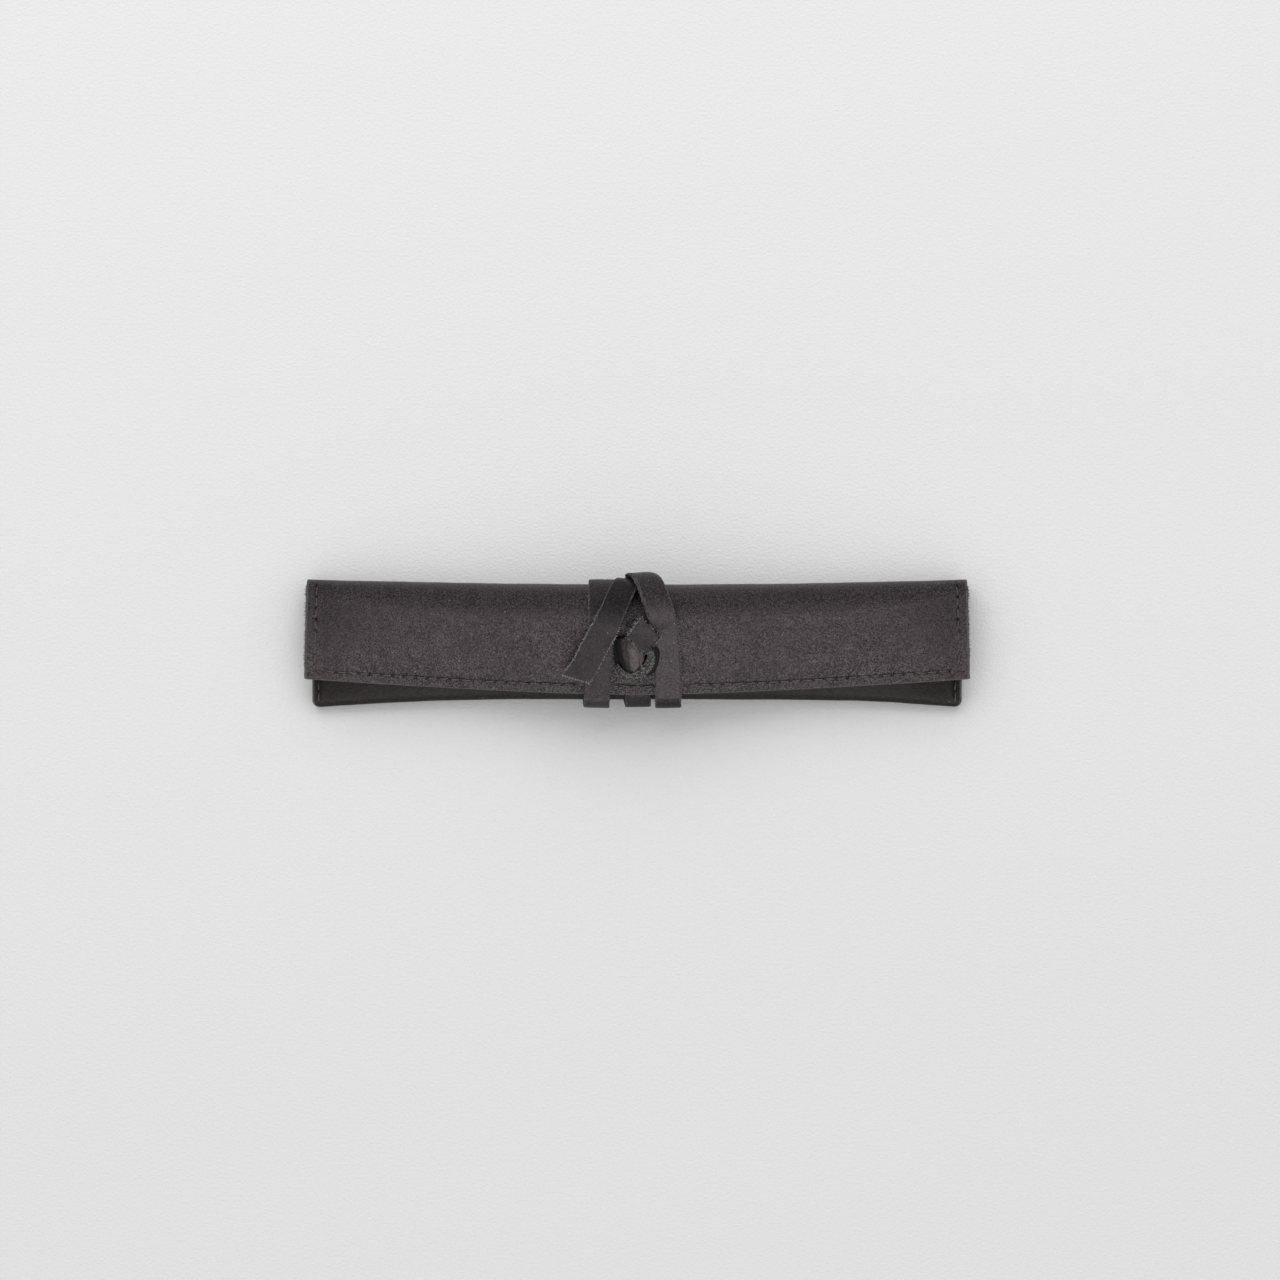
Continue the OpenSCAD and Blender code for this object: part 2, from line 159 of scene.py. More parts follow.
def blendColours(tree, share, a, b):
    return node(tree, "ShaderNodeMix", {"data_type": "RGBA"}, i0=share, i6=a, i7=b).outputs[2]


perMetre = 1000.0       # object coordinates come in metres, sizes in millimetres
milled = SimpleNamespace(**{
    # limits of the masks, and what the patches do to the height
    "raised": (0.62, 0.08), "freckle": (0.38, 0.66), "patch": (0.3, 0.7, 0.8, 1.16),
    "push": 0.2, "pebbleHeight": 0.6, "poreHeight": 0.55,
    "pebbleTone": 0.2, "freckleTone": 0.75, "slowTone": 0.42,
})


def grainGroup():
    # pebbles of a milled hide with finer pores between them, as one height and one tone
    tree, ins, outs = newGroup("leatherGrain", {"Vector": None, "Size": 1.0}, ("Height", "Tone"))
    scaled = scaleBy(tree, ins["Vector"], calc(tree, "DIVIDE", perMetre, ins["Size"]))
    bend = noiseAt(tree, scaled, Scale=0.35, Detail=2.0)["Color"]
    pushed = node(tree, "ShaderNodeVectorMath", {"operation": "MULTIPLY_ADD"},
                  i0=bend, i1=[milled.push] * 3, i2=scaled).outputs[0]
    cells = node(tree, "ShaderNodeTexVoronoi", {"feature": "SMOOTH_F1"}, Vector=pushed, Scale=0.9, Smoothness=0.2)
    raised = span(tree, cells.outputs["Distance"], *milled.raised)
    pores = noiseAt(tree, pushed, Scale=1.7, Detail=4.0, Roughness=0.62)["Fac"]
    broad = noiseAt(tree, scaled, Scale=0.09, Detail=3.0)["Fac"]
    freckle = noiseAt(tree, scaled, Scale=0.85, Detail=2.0, Roughness=0.65)["Fac"]
    height = weighed(tree, (raised, milled.pebbleHeight), (pores, milled.poreHeight))
    patch = span(tree, broad, *milled.patch)
    tree.links.new(calc(tree, "MULTIPLY", height, patch), outs["Height"])
    tone = weighed(tree, (raised, milled.pebbleTone),
                   (span(tree, freckle, *milled.freckle), milled.freckleTone),
                   (broad, milled.slowTone))
    tree.links.new(tone, outs["Tone"])
    return tree


def dustAndGlintGroup():
    # scattered pale specks, as a mask: real dust, and also the painted glints
    tree, ins, outs = newGroup("dust", {"Vector": None, "Amount": 0.5, "Scale": 0.34, "Radius": 0.085}, ("Mask",))
    dots = node(tree, "ShaderNodeTexVoronoi", {"feature": "F1"},
                Vector=scaleBy(tree, ins["Vector"], perMetre), Scale=ins["Scale"])
    keep = node(tree, "ShaderNodeSeparateColor", {}, Color=dots.outputs["Color"]).outputs[0]
    chosen = calc(tree, "LESS_THAN", keep, ins["Amount"])
    core = calc(tree, "MULTIPLY", ins["Radius"], 0.35)
    near = span(tree, dots.outputs["Distance"], ins["Radius"], core)
    tree.links.new(calc(tree, "MULTIPLY", chosen, near), outs["Mask"])
    return tree


def fibreGroup():
    # the felted look of a raw cut edge
    tree, ins, outs = newGroup("fibres", {"Vector": None, "Size": 0.3}, ("Height", "Tone"))
    scaled = scaleBy(tree, ins["Vector"], calc(tree, "DIVIDE", perMetre, ins["Size"]))
    felt = noiseAt(tree, scaled, Scale=1.0, Detail=5.0, Roughness=0.7, Distortion=1.4)["Fac"]
    tree.links.new(felt, outs["Height"])
    tree.links.new(span(tree, felt, 0.35, 0.7), outs["Tone"])
    return tree


groups = {"grain": grainGroup(), "dust": dustAndGlintGroup(), "fibres": fibreGroup()}


def place(tree, group, **inputs):
    return node(tree, "ShaderNodeGroup", {"node_tree": groups[group]}, **inputs).outputs


def newMaterial(name):
    # the material, its nodes, its shader's sockets and where a point lies on the object
    material = bpy.data.materials.new(name)
    material.use_nodes = True
    tree = material.node_tree
    return material, tree, tree.nodes["Principled BSDF"].inputs, node(tree, "ShaderNodeTexCoord").outputs["Object"]


def addBump(tree, shader, height, depth):
    bumped = node(tree, "ShaderNodeBump", {}, Strength=1.0, Distance=depth * mm, Height=height)
    tree.links.new(bumped.outputs[0], shader["Normal"])


def colour(rgb):
    return (*rgb, 1.0)


# the glints below are painted highlights: small spots of the grain painted in a lighter colour
look = SimpleNamespace(**{
    "toneLimits": (0.35, 1.05), "roughLimits": (0.3, 1.1), "dust": (0.2, 0.19, 0.185), "tint": (1.0, 0.87, 0.905),
    "glints": {"Scale": 1.7, "Radius": 0.34}, "glintGain": 2.1,     # small bright spots in the grain
})


def leather(name, dark, light, rough, grainSize, bump, dustShare, gloss, paintedGlintShare):
    material, tree, shader, at = newMaterial(name)
    grain = place(tree, "grain", Vector=at, Size=grainSize)
    dust = place(tree, "dust", Vector=at, Amount=dustShare)["Mask"]
    # painted glints: a lighter colour painted on small spots of the grain, standing in for highlights
    glints = place(tree, "dust", Vector=at, Amount=paintedGlintShare, **look.glints)["Mask"]
    bright = [v * look.glintGain for v in light]
    tone = span(tree, grain["Tone"], *look.toneLimits)
    base = blendColours(tree, tone, colour(dark), colour(light))
    lit = blendColours(tree, glints, base, colour(bright))
    tree.links.new(blendColours(tree, dust, lit, colour(look.dust)), shader["Base Color"])
    tree.links.new(span(tree, grain["Tone"], *look.roughLimits, *rough), shader["Roughness"])
    addBump(tree, shader, grain["Height"], bump)
    shader["Specular IOR Level"].default_value = gloss
    shader["Specular Tint"].default_value = colour(look.tint)
    return material


def rawEdge(name, dark, light, fibreSize, bump, rough, contrast):
    material, tree, shader, at = newMaterial(name)
    felt = place(tree, "fibres", Vector=at, Size=fibreSize)
    tone = calc(tree, "POWER", felt["Tone"], contrast)
    tree.links.new(blendColours(tree, tone, colour(dark), colour(light)), shader["Base Color"])
    addBump(tree, shader, felt["Height"], bump)
    shader["Roughness"].default_value = rough
    shader["Specular IOR Level"].default_value = 0.2
    return material


leathers = {
    # dark and light colour, roughness, grain (mm), bump (mm), share of dust, gloss, share of painted glints
    "hide": ((.0050, .0038, .0041), (.0390, .0317, .0332), (0.26, 0.46), 0.34, 0.20, 0.3, 0.31, 0.6),
    # the next row is the hide in darker, duller colours: painted shade, as the flap shades the pocket
    "pocket": ((.0078, .0069, .0062), (.0200, .0176, .0158), (0.46, 0.62), 0.5, 0.11, 0.2, 0.13, 0.2),
    "lining": ((.0090, .0078, .0080), (.0190, .0165, .0165), (0.75, 0.9), 0.55, 0.12, 0.1, 0.2, 0.3),
    "strap": ((.0080, .0067, .0070), (.0310, .0268, .0277), (0.38, 0.52), 0.36, 0.10, 0.5, 0.18, 0.4),
    # the next row is the strap's leather in lighter colours: painted light on the middle loop and the right band
    "strapPaintedLight": ((.0130, .0110, .0115), (.0400, .0345, .0354), (0.34, 0.48), 0.36, 0.10, 0.5, 0.21, 0.4),
    "tail": ((.0055, .0049, .0051), (.0200, .0179, .0183), (0.38, 0.52), 0.36, 0.10, 0.6, 0.16, 0.4),
    "knot": ((.0105, .0080, .0075), (.0260, .0190, .0170), (0.34, 0.46), 0.7, 0.10, 0.1, 0.30, 0.3),
}
rawEdges = {
    # dark and light colour, fibres (mm), bump (mm), roughness, contrast
    "edge": ((.007, .0065, .0065), (.26, .243, .24), 0.3, 0.25, 0.9, 1.8),
    "worn": ((.018, .0162, .0165), (.15, .14, .142), 0.3, 0.06, 0.6, 1.0),
    "frayed": ((.004, .004, .004), (.62, .61, .605), 0.5, 0.6, 0.9, 3.2),
    "lint": ((.10, .097, .095), (.50, .49, .485), 0.5, 0.05, 0.9, 1.0),
    "burr": ((.010, .010, .008), (.12, .114, .106), 0.3, 0.05, 0.9, 1.0),
    # the next row is near-black: painted shade for the needle holes, the slit's mouth and the lobe's left side
    "paintedShade": ((.002, .002, .002), (.006, .0055, .0055), 0.3, 0.05, 0.9, 1.0),
    "thread": ((.012, .011, .011), (.16, .148, .15), 0.16, 0.06, 0.42, 1.0),
}
finishes = {name: leather(name, *values) for name, values in leathers.items()}
finishes.update({name: rawEdge(name, *values) for name, values in rawEdges.items()})
print("materials ready:", ", ".join(sorted(finishes)))


def makeMesh(name, points, faces, slots, faceSlots=None, sharp=()):
    # points in millimetres
    data = bpy.data.meshes.new(name)
    data.from_pydata([(p[0] * mm, p[1] * mm, p[2] * mm) for p in points], [], faces)
    for slot in slots:
        data.materials.append(finishes[slot])
    if faceSlots:
        data.polygons.foreach_set("material_index", faceSlots)
    data.polygons.foreach_set("use_smooth", [True] * len(data.polygons))
    if sharp:
        wanted = {tuple(sorted(pair)) for pair in sharp}
        for edge in data.edges:
            if tuple(sorted(edge.vertices)) in wanted:
                edge.use_edge_sharp = True
    data.validate()
    data.update()
    return addObject(name, data)


def turnOutward(piece):
    shape = bmesh.new()
    shape.from_mesh(piece.data)
    bmesh.ops.recalc_face_normals(shape, faces=shape.faces)
    shape.to_mesh(piece.data)
    shape.free()
    return piece


def tubeFaces(rings, sides):
    # the sides of a closed tube of rings, then its two ends
    faces = []
    for k in range(rings - 1):
        for q in range(sides):
            a, b = k * sides + q, k * sides + (q + 1) % sides
            faces.append((a, b, b + sides, a + sides))
    return faces + [tuple(reversed(range(sides))), tuple((rings - 1) * sides + q for q in range(sides))]


def gridBorder(n, m):
    # the outer points of a grid of n by m cells, in order
    w = m + 1
    return [*range(m), *(i * w + m for i in range(n)), *(n * w + j for j in range(m, 0, -1)),
            *(i * w for i in range(n, 0, -1))]


def mix(a, b, t):
    return a + (b - a) * t


def ease(a, b, v):
    t = min(1.0, max(0.0, (v - a) / (b - a)))
    return t * t * (3 - 2 * t)


def bell(distance, half):
    return math.exp(-(distance / half) ** 2)


def circle(sides):
    turns = [2 * math.pi * q / sides for q in range(sides)]
    return [(math.cos(turn), math.sin(turn)) for turn in turns]


def noiseOf(*at):
    return noise.noise(Vector(at))


# the sleeve's cross-section, in millimetres, which changes from the waist to the ends
sleeve = SimpleNamespace(**{
    "pocketHalf": 86.0, "foldHalf": 87.2, "flapHalf": 88.0,         # half-lengths
    "waistTop": 14.9, "endTop": 16.2, "waistLow": 15.6, "endLow": 17.6,
    "penRoom": 9.2, "foldRoom": 1.0, "leastRoom": 0.05, "seamMargin": 2.7,
    "backRise": 3.3, "backRiseEnds": (17, 46),                      # the back stands clear of the table at the waist
    "hide": 1.2, "lining": 0.6, "glue": 0.05, "liningInset": 0.4,
    "flapReach": 14.4, "flapEndReach": 10.2, "flapGap": 0.7,
    "cornerLift": 2.6, "edgeLift": 0.9, "liftFrom": 0.6,            # the flap's corners stand off
    "strapW": 6.8, "strapT": 1.1, "strapClear": 0.15, "strapSpare": 0.1, "strapSides": (6, 24), "layerGap": 0.35,
})
wall = sleeve.hide + sleeve.glue + sleeve.lining
strapRoom = sleeve.strapT + 2 * sleeve.strapClear - sleeve.flapGap + sleeve.strapSpare
centreY = (sleeve.waistTop + sleeve.strapClear + 2 * sleeve.strapT + sleeve.layerGap - sleeve.endLow) / 2


def tangent(a, ra, b, rb):
    # the angle at which one straight line touches two circles
    dy, dz = b[0] - a[0], b[1] - a[1]
    return math.degrees(math.atan2(dz, dy) + math.acos((ra - rb) / math.hypot(dy, dz)))


def onCircle(centre, radius, angle):
    turn = math.radians(angle)
    return centre[0] + radius * math.cos(turn), centre[1] + radius * math.sin(turn)


@functools.lru_cache(maxsize=None)
def section(x):
    # the circles of the top fold, the low fold and the pocket's mouth, and the flap's slope
    x = abs(x)
    s = SimpleNamespace()
    s.foot = sleeve.backRise * (1 - ease(*sleeve.backRiseEnds, x))
    topY = mix(sleeve.waistTop, sleeve.endTop, (x / sleeve.foldHalf) ** 2) - centreY
    lowY = -mix(sleeve.waistLow, sleeve.endLow, (x / sleeve.pocketHalf) ** 4) - centreY
    full = 1 - min(1, x / (sleeve.pocketHalf - sleeve.seamMargin)) ** 4
    underStrap = strapRoom * (1 - ease(*sleeve.strapSides, x))
    corner = ease(sleeve.liftFrom, 1, x / sleeve.foldHalf)
    slack = sleeve.flapGap + underStrap + sleeve.cornerLift * corner
    lowSlack = sleeve.flapGap + underStrap + sleeve.edgeLift * corner
    s.foldR = (3 * wall + sleeve.penRoom * full + slack) / 2
    s.fold = (topY - s.foldR, s.foot + s.foldR)
    s.lowR = wall + sleeve.leastRoom + sleeve.foldRoom * full
    s.low = (lowY + s.lowR, s.foot + s.lowR)
    s.ridgeR = max(s.foldR - wall - slack, wall + sleeve.leastRoom)
    s.ridge = (s.fold[0], s.foot + 2 * wall + sleeve.penRoom * full - s.ridgeR)
    s.front = tangent(s.low, s.lowR, s.ridge, s.ridgeR)
    s.flapLowR = s.lowR + wall + lowSlack
    s.turn = tangent(s.low, s.flapLowR, s.fold, s.foldR)
    edgeY = -mix(sleeve.flapReach, sleeve.flapEndReach, min(1, x / sleeve.flapHalf) ** 1.5) - centreY
    turn = math.radians(s.turn)
    s.slope = (s.fold[0] + s.foldR * math.cos(turn) - edgeY) / math.sin(turn)
    s.flapLen = s.slope + s.foldR * turn
    return s


def flapPoint(x, s, out):
    # a point of the flap at s from its free edge, and its outward direction
    c = section(round(x, 3))
    over = s - c.slope
    if over < 0:
        turn = math.radians(c.turn)
        y, z = onCircle(c.fold, c.foldR + out, c.turn)
        return (x, y + over * math.sin(turn), z - over * math.cos(turn)), c.turn
    angle = c.turn - math.degrees(over / c.foldR)
    return (x, *onCircle(c.fold, c.foldR + out, angle)), angle


uneven = SimpleNamespace(**{
    # two sizes of unevenness: how fast it changes along and across, its place in the noise, its height
    "sizes": ((0.045, 0.11, 3.1, 0.22), (0.16, 0.21, 8.4, 0.06)),
    "bow": 0.85, "bowFrom": (13, 30), "bowLeast": 0.55, "bowFull": (50, 86),
})


def waves(x, along):
    # slow unevenness of the leather, the same for every layer; the flap also bows out a little
    v = sum(noiseOf(x * perX, along * perY, at) * height for perX, perY, at, height in uneven.sizes)
    c = section(round(abs(x), 3))
    if 0 < along < c.slope:
        share = mix(uneven.bowLeast, 1.0, ease(*uneven.bowFull, abs(x)))
        bow = uneven.bow * ease(*uneven.bowFrom, abs(x)) * share
        v += bow * math.sin(math.pi * along / c.slope)
    return v


flap = SimpleNamespace(**{
    "stitchInset": 2.6, "sideInset": 0.15, "sideX": 84.6, "pitch": 3.0, "stitch": 2.0, "thread": 0.36,
    "groove": 0.05, "grooveHalf": 0.34, "grooveEnds": (0.6, 0.4), "pit": 0.24, "pitHalf": 0.24,
    "cornerRound": 0.55, "burr": 0.26, "soften": 0.17, "liningSoften": 0.12, "endStrip": 0.5,
    # rows near the free edge, close together where the stitches press the leather in
    "nearRows": (0.30, 0.9, 1.4, 1.8, 2.1, 2.35, 2.6, 2.85, 3.1, 3.4, 3.8),
})
faceDepth = 0.3         # points less deep than this are on a sheet's outer face


def grooveDepth(x, s, half):
    # the sewn line's shallow channel, with a pit at each needle hole
    lowEnd, sideEnd = flap.grooveEnds
    low = bell(s - flap.stitchInset, flap.grooveHalf) if abs(x) < half - flap.stitchInset + lowEnd else 0
    fromSide = half - flap.stitchInset - flap.sideInset - abs(x)
    side = bell(fromSide, flap.grooveHalf) if s > flap.stitchInset - sideEnd else 0

    def depthAt(run):
        fromGap = abs((run / flap.pitch) % 1 - 0.5) * flap.pitch        # from midway between two stitches
        return flap.groove + flap.pit * bell(fromGap - (flap.pitch - flap.stitch) / 2, flap.pitHalf)
    return low * depthAt(x) + side * depthAt(s - flap.stitchInset)


columnStep = 0.5
lastColumn = sleeve.flapHalf - flap.endStrip
steps = round(2 * lastColumn / columnStep)
columns = [mix(-lastColumn, lastColumn, i / steps) / sleeve.flapHalf for i in range(steps + 1)]
softColumn = flap.soften / sleeve.flapHalf
columns = [-1, -1 + softColumn, *columns, 1 - softColumn, 1]


def sheetGrid(name, rows, at, thick, slots, butt, soften=flap.soften):
    # a closed sheet: at(f, row, depth) gives a point, where f runs -1..1 over the length
    # the first row (butt 0) or the last (butt 1) meets the next piece; free ends are softened
    n, m = len(columns), len(rows)
    inside = n * m
    points, faces, marks, sharp = [], [], [], []
    for inner in (False, True):
        for i, f in enumerate(columns):
            for j, row in enumerate(rows):
                depth = soften if i in (0, n - 1) or (j == 0 and butt != 0) else 0
                points.append(at(f, row, thick - depth if inner else depth))
    for i in range(n - 1):
        for j in range(m - 1):
            a = i * m + j
            quad = (a, a + 1, a + m + 1, a + m)
            rubbed = i in (0, 1, n - 3, n - 2) or (j == m - 2 if butt == 0 else j < 2)
            faces += [quad, tuple(inside + k for k in reversed(quad))]
            marks += [3 if len(slots) > 3 and rubbed else 0, 1]
    firstRow = [((i + 1) * m, i * m) for i in range(n - 1)]
    lastRow = [(i * m + m - 1, (i + 1) * m + m - 1) for i in range(n - 1)]
    leftEnd = [(j, j + 1) for j in range(m - 1)]
    rightEnd = [((n - 1) * m + j + 1, (n - 1) * m + j) for j in range(m - 1)]
    for pairs, rowEnd in ((firstRow, 0), (lastRow, 1), (leftEnd, None), (rightEnd, None)):
        for a, b in pairs:
            faces.append((b, a, inside + a, inside + b))
            marks.append(2)
            if rowEnd == butt:
                sharp += [(a, b), (inside + a, inside + b)]
    return makeMesh(name, points, faces, slots, marks, sharp)


def shares(count):
    return [i / count for i in range(1, count + 1)]


def rowsOf(kind, values):
    return [(kind, value) for value in values]


# rows of the flap: up the slope from its free edge, round the top fold, and under it to the butt
flapRows = rowsOf("slope", (0, flap.soften, *flap.nearRows)) + rowsOf("rise", shares(20)) + rowsOf("turn", shares(26))
flapRows += rowsOf("under", shares(20))


def flapSpot(f, row, inset=0.0):
    # place on the flap for a share f of its length and one of its rows: x, s and the half-length there
    kind, value = row
    c = section(round(abs(f) * sleeve.flapHalf, 3))
    if kind == "slope":
        s = value
    elif kind == "rise":
        s = mix(flap.nearRows[-1], c.slope, value)
    elif kind == "turn":
        s = mix(c.slope, c.flapLen, value)
    else:
        s = c.flapLen + value * c.foldR * math.pi / 2
    half = mix(sleeve.flapHalf, sleeve.foldHalf, min(1, s / c.flapLen))
    if kind == "under":
        half = mix(sleeve.foldHalf, sleeve.pocketHalf, ease(0, 1, value))
    if s < flap.cornerRound:
        half -= flap.cornerRound - math.sqrt(max(0, flap.cornerRound ** 2 - (flap.cornerRound - s) ** 2))
    x = f * half
    if inset:
        x = max(-half + inset, min(half - inset, x))
    return x, s, half


def burr(x, s):
    # how far the cut end stands out or is nicked
    rough = noiseOf(x, s * 1.9, 2.0) + 0.7 * noiseOf(x, s * 5.3, 6.0)
    return math.copysign(flap.burr * (0.55 * rough + 0.5 * max(0, rough - 0.25)), x)


def flapAt(f, row, depth, top=0.0, inset=0.0, pressed=True):
    x, s, half = flapSpot(f, row, inset)
    if abs(f) == 1 and not inset:
        x += burr(x, s)
    if inset and row == ("slope", 0):
        s = inset / 2
    fade = 1 - row[1] if row[0] == "under" else 1
    sink = waves(x, s) * fade
    if pressed and depth < faceDepth:
        sink -= grooveDepth(x, s, half) * fade
    return flapPoint(x, s, sink - depth - top)[0]


asLining = {"top": sleeve.hide + sleeve.glue, "inset": sleeve.liningInset}
liningSlots = ["lining", "lining", "edge"]
flapHide = sheetGrid("flapHide", flapRows, flapAt, sleeve.hide, ["hide", "hide", "edge", "worn"], butt=1)
flapLining = sheetGrid("flapLining", flapRows, functools.partial(flapAt, **asLining, pressed=False), sleeve.lining,
                       liningSlots, butt=1, soften=flap.liningSoften)
print("flap ready")


pocket = SimpleNamespace(**{
    # the end seams press the front in and push up a roll beside them
    "seamX": 84.3, "seamHalf": 0.42, "seamDepth": 0.55, "backDepth": 0.3,
    "rollIn": 1.3, "rollHalf": 0.7, "rollHeight": 0.34, "fade": 0.3,
    "lowCorner": 1.9, "burr": 0.6, "burrAt": 50, "mouthTurn": 10.0,
    "lowFold": (270, 180), "waveFrom": -32, "frontWave": 20, "mouthWave": (-12, 2),
})
# from the butt under the top fold along the back, round the low fold, and up the front to the mouth
pocketRows = rowsOf("back", [0.0] + shares(16)) + rowsOf("low", shares(16)) + rowsOf("front", shares(20))
pocketRows += rowsOf("ridge", (0.35, 0.7, 0.9, 1.0))


def pocketAt(f, row, depth, top=0.0, inset=0.0):
    kind, value = row
    x = f * sleeve.pocketHalf
    if inset:
        x = max(-sleeve.pocketHalf + inset, min(sleeve.pocketHalf - inset, x))
    c = section(round(x, 3))
    d = depth + top
    seam = bell(abs(x) - pocket.seamX, pocket.seamHalf)
    roll = bell(abs(x) - pocket.seamX + pocket.rollIn, pocket.rollHalf)
    if kind == "back":
        d += pocket.backDepth * seam if depth < faceDepth else 0
        y, z = mix(c.fold[0], c.low[0], value), c.foot + d
    elif kind == "low":
        turn = mix(pocket.lowFold[0], c.front, value)
        d -= waves(x, pocket.waveFrom) * ease(*pocket.lowFold, turn)
        y, z = onCircle(c.low, c.lowR - d, turn)
    elif kind == "front":
        press = pocket.seamDepth * seam - pocket.rollHeight * roll
        d -= waves(x, pocket.waveFrom + value * pocket.frontWave) - press * (1 - value * pocket.fade)
        a = onCircle(c.low, c.lowR - d, c.front)
        b = onCircle(c.ridge, c.ridgeR - d, c.front)
        y, z = mix(a[0], b[0], value), mix(a[1], b[1], value)
    else:
        waveAt, waveStep = pocket.mouthWave
        d -= waves(x, waveAt + value * waveStep)
        y, z = onCircle(c.ridge, c.ridgeR - d, c.front - pocket.mouthTurn * value)
    # the pocket's lower corners are rubbed round
    corner = pocket.lowCorner
    short = max(0.0, corner - (y - c.low[0] + c.lowR))
    pull = corner - math.sqrt(max(0, corner ** 2 - short ** 2))
    ragged = burr(x, value * 9 + pocket.burrAt) * pocket.burr if abs(f) == 1 and not inset else 0.0
    return x * (1 - pull / sleeve.pocketHalf) + ragged, y, z


# the pocket's hide takes the darker, duller copy of the hide, which paints the shade under the flap
pocketHide = sheetGrid("pocketHide", pocketRows, pocketAt, sleeve.hide, ["pocket", "pocket", "edge", "worn"], butt=0)
pocketLining = sheetGrid("pocketLining", pocketRows, functools.partial(pocketAt, **asLining), sleeve.lining,
                         liningSlots, butt=0, soften=flap.liningSoften)
print("pocket ready")


sew = SimpleNamespace(**{
    # along the stitch and up from the leather; both ends dip into the needle holes
    "profile": ((-1.3, -0.42), (-1.16, -0.12), (-0.84, 0.08), (-0.35, 0.14), (0.14, 0.15), (0.64, 0.11),
                (1.0, 0.0), (1.18, -0.16), (1.3, -0.42)),
    "sides": 8, "skew": 0.14, "lift": (-0.05, 0.06), "thick": (0.9, 1.1), "stretch": (0.95, 1.04),
    "bulge": (0.10, 2.4), "flat": 0.85,
    "holeSides": 9, "holeOff": 0.10, "holeReach": (0.8, 1.25), "holeProud": 0.05, "holeDeep": 0.25,
})


def stitchAt(middle, along, out):
    # a stitch's middle, its direction and the way out of the leather
    return Vector(middle), Vector(along).normalized(), Vector(out).normalized()


def stitchMesh(name, spots, seed):
    pick = random.Random(seed)
    points, faces = [], []
    tube = tubeFaces(len(sew.profile), sew.sides)
    for middle, along, out in spots:
        along = (along + out.cross(along) * pick.uniform(-sew.skew, sew.skew)).normalized()
        side = out.cross(along)
        lift, thick, stretch = pick.uniform(*sew.lift), pick.uniform(*sew.thick), pick.uniform(*sew.stretch)
        first = len(points)
        for k, (a, h) in enumerate(sew.profile):
            centre = middle + along * (a * stretch) + out * (h + lift)
            grow = flap.thread / 2 * thick * (1.0 + sew.bulge[0] * math.cos(k * sew.bulge[1]))
            points += [centre + side * (cos * grow) + out * (sin * grow * sew.flat) for cos, sin in circle(sew.sides)]
        faces += [tuple(first + k for k in face) for face in tube]
    return makeMesh(name, points, faces, ["thread"])


def needleHoleShade(name, spots, long, wide, seed):
    # painted shade: a near-black eye at the end of every stitch, a hair above the leather, for the shade inside the
    # needle hole
    pick = random.Random(seed)
    points, faces = [], []
    sides = sew.holeSides
    for middle, along, out in spots:
        side = out.cross(along)
        centre = middle + along * (flap.pitch / 2) + side * pick.uniform(-sew.holeOff, sew.holeOff)
        first = len(points)
        for cos, sin in circle(sides):
            reach = pick.uniform(*sew.holeReach)
            points.append(centre + along * (cos * long * reach) + side * (sin * wide * reach) + out * sew.holeProud)
        points.append(centre - out * sew.holeDeep)
        faces += [(first + q, first + (q + 1) % sides, first + sides) for q in range(sides)]
    return makeMesh(name, points, faces, ["paintedShade"])


def outward(angle):
    turn = math.radians(angle)
    return 0.0, math.cos(turn), math.sin(turn)


def alongSlope(x, s, out):
    return Vector(flapPoint(x, s + 0.2, out)[0]) - Vector(flapPoint(x, s - 0.2, out)[0])


bands = SimpleNamespace(**{"left": -10.7, "right": 8.2, "clear": 0.2})


def fromBand(x):
    return min(abs(x - bands.left), abs(x - bands.right))


def flapRow(depth, sign):
    # the row along the free edge and the two up the sides, on one face of the flap
    spots = []
    count = int((sleeve.flapHalf - flap.stitchInset) / flap.pitch - 0.5)
    for i in range(-count, count + 1):
        x = i * flap.pitch
        if sign > 0 and fromBand(x) < (sleeve.strapW + flap.stitch) / 2 + bands.clear:
            continue
        at = waves(x, flap.stitchInset) + depth
        point, angle = flapPoint(x, flap.stitchInset, at)
        ahead, _ = flapPoint(x + 0.4, flap.stitchInset, at)
        spots.append(stitchAt(point, Vector(ahead) - Vector(point), [sign * v for v in outward(angle)]))
    for side in (-1, 1):
        s = flap.stitchInset + flap.pitch
        flapLen = section(flap.sideX).flapLen
        while s < flapLen - flap.pitch:
            half = mix(sleeve.flapHalf, sleeve.foldHalf, s / flapLen)
            x = side * (half - flap.stitchInset - flap.sideInset)
            point, angle = flapPoint(x, s, waves(x, s) + depth)
            spots.append(stitchAt(point, alongSlope(x, s, depth), [sign * v for v in outward(angle)]))
            s += flap.pitch
    return spots


flapThread = stitchMesh("flapThread", flapRow(0.02, 1), seed=3)
flapHoleShade = needleHoleShade("flapHoleShade", flapRow(0.0, 1), long=0.5, wide=0.28, seed=4)
flapThreadInside = stitchMesh("flapThreadInside", flapRow(-wall - 0.02, -1), seed=5)

seamValues = {"lowGap": 0.6, "topGap": 1.6, "front": (0.1, 0.1), "back": (0.44, -0.02)}


def seamRow(side, back=False):
    # one row of stitches up an end of the pocket, on its front or its back
    spots = []
    c = section(pocket.seamX)
    press, lift = seamValues["back" if back else "front"]
    z = c.foot + (press if back else 2 * wall - press)
    y = c.low[0] + seamValues["lowGap"]
    while y < c.ridge[0] - seamValues["topGap"]:
        spots.append(stitchAt((side * pocket.seamX, y, z + lift), (0, 1, 0), (0, 0, -1 if back else 1)))
        y += flap.pitch
    return spots


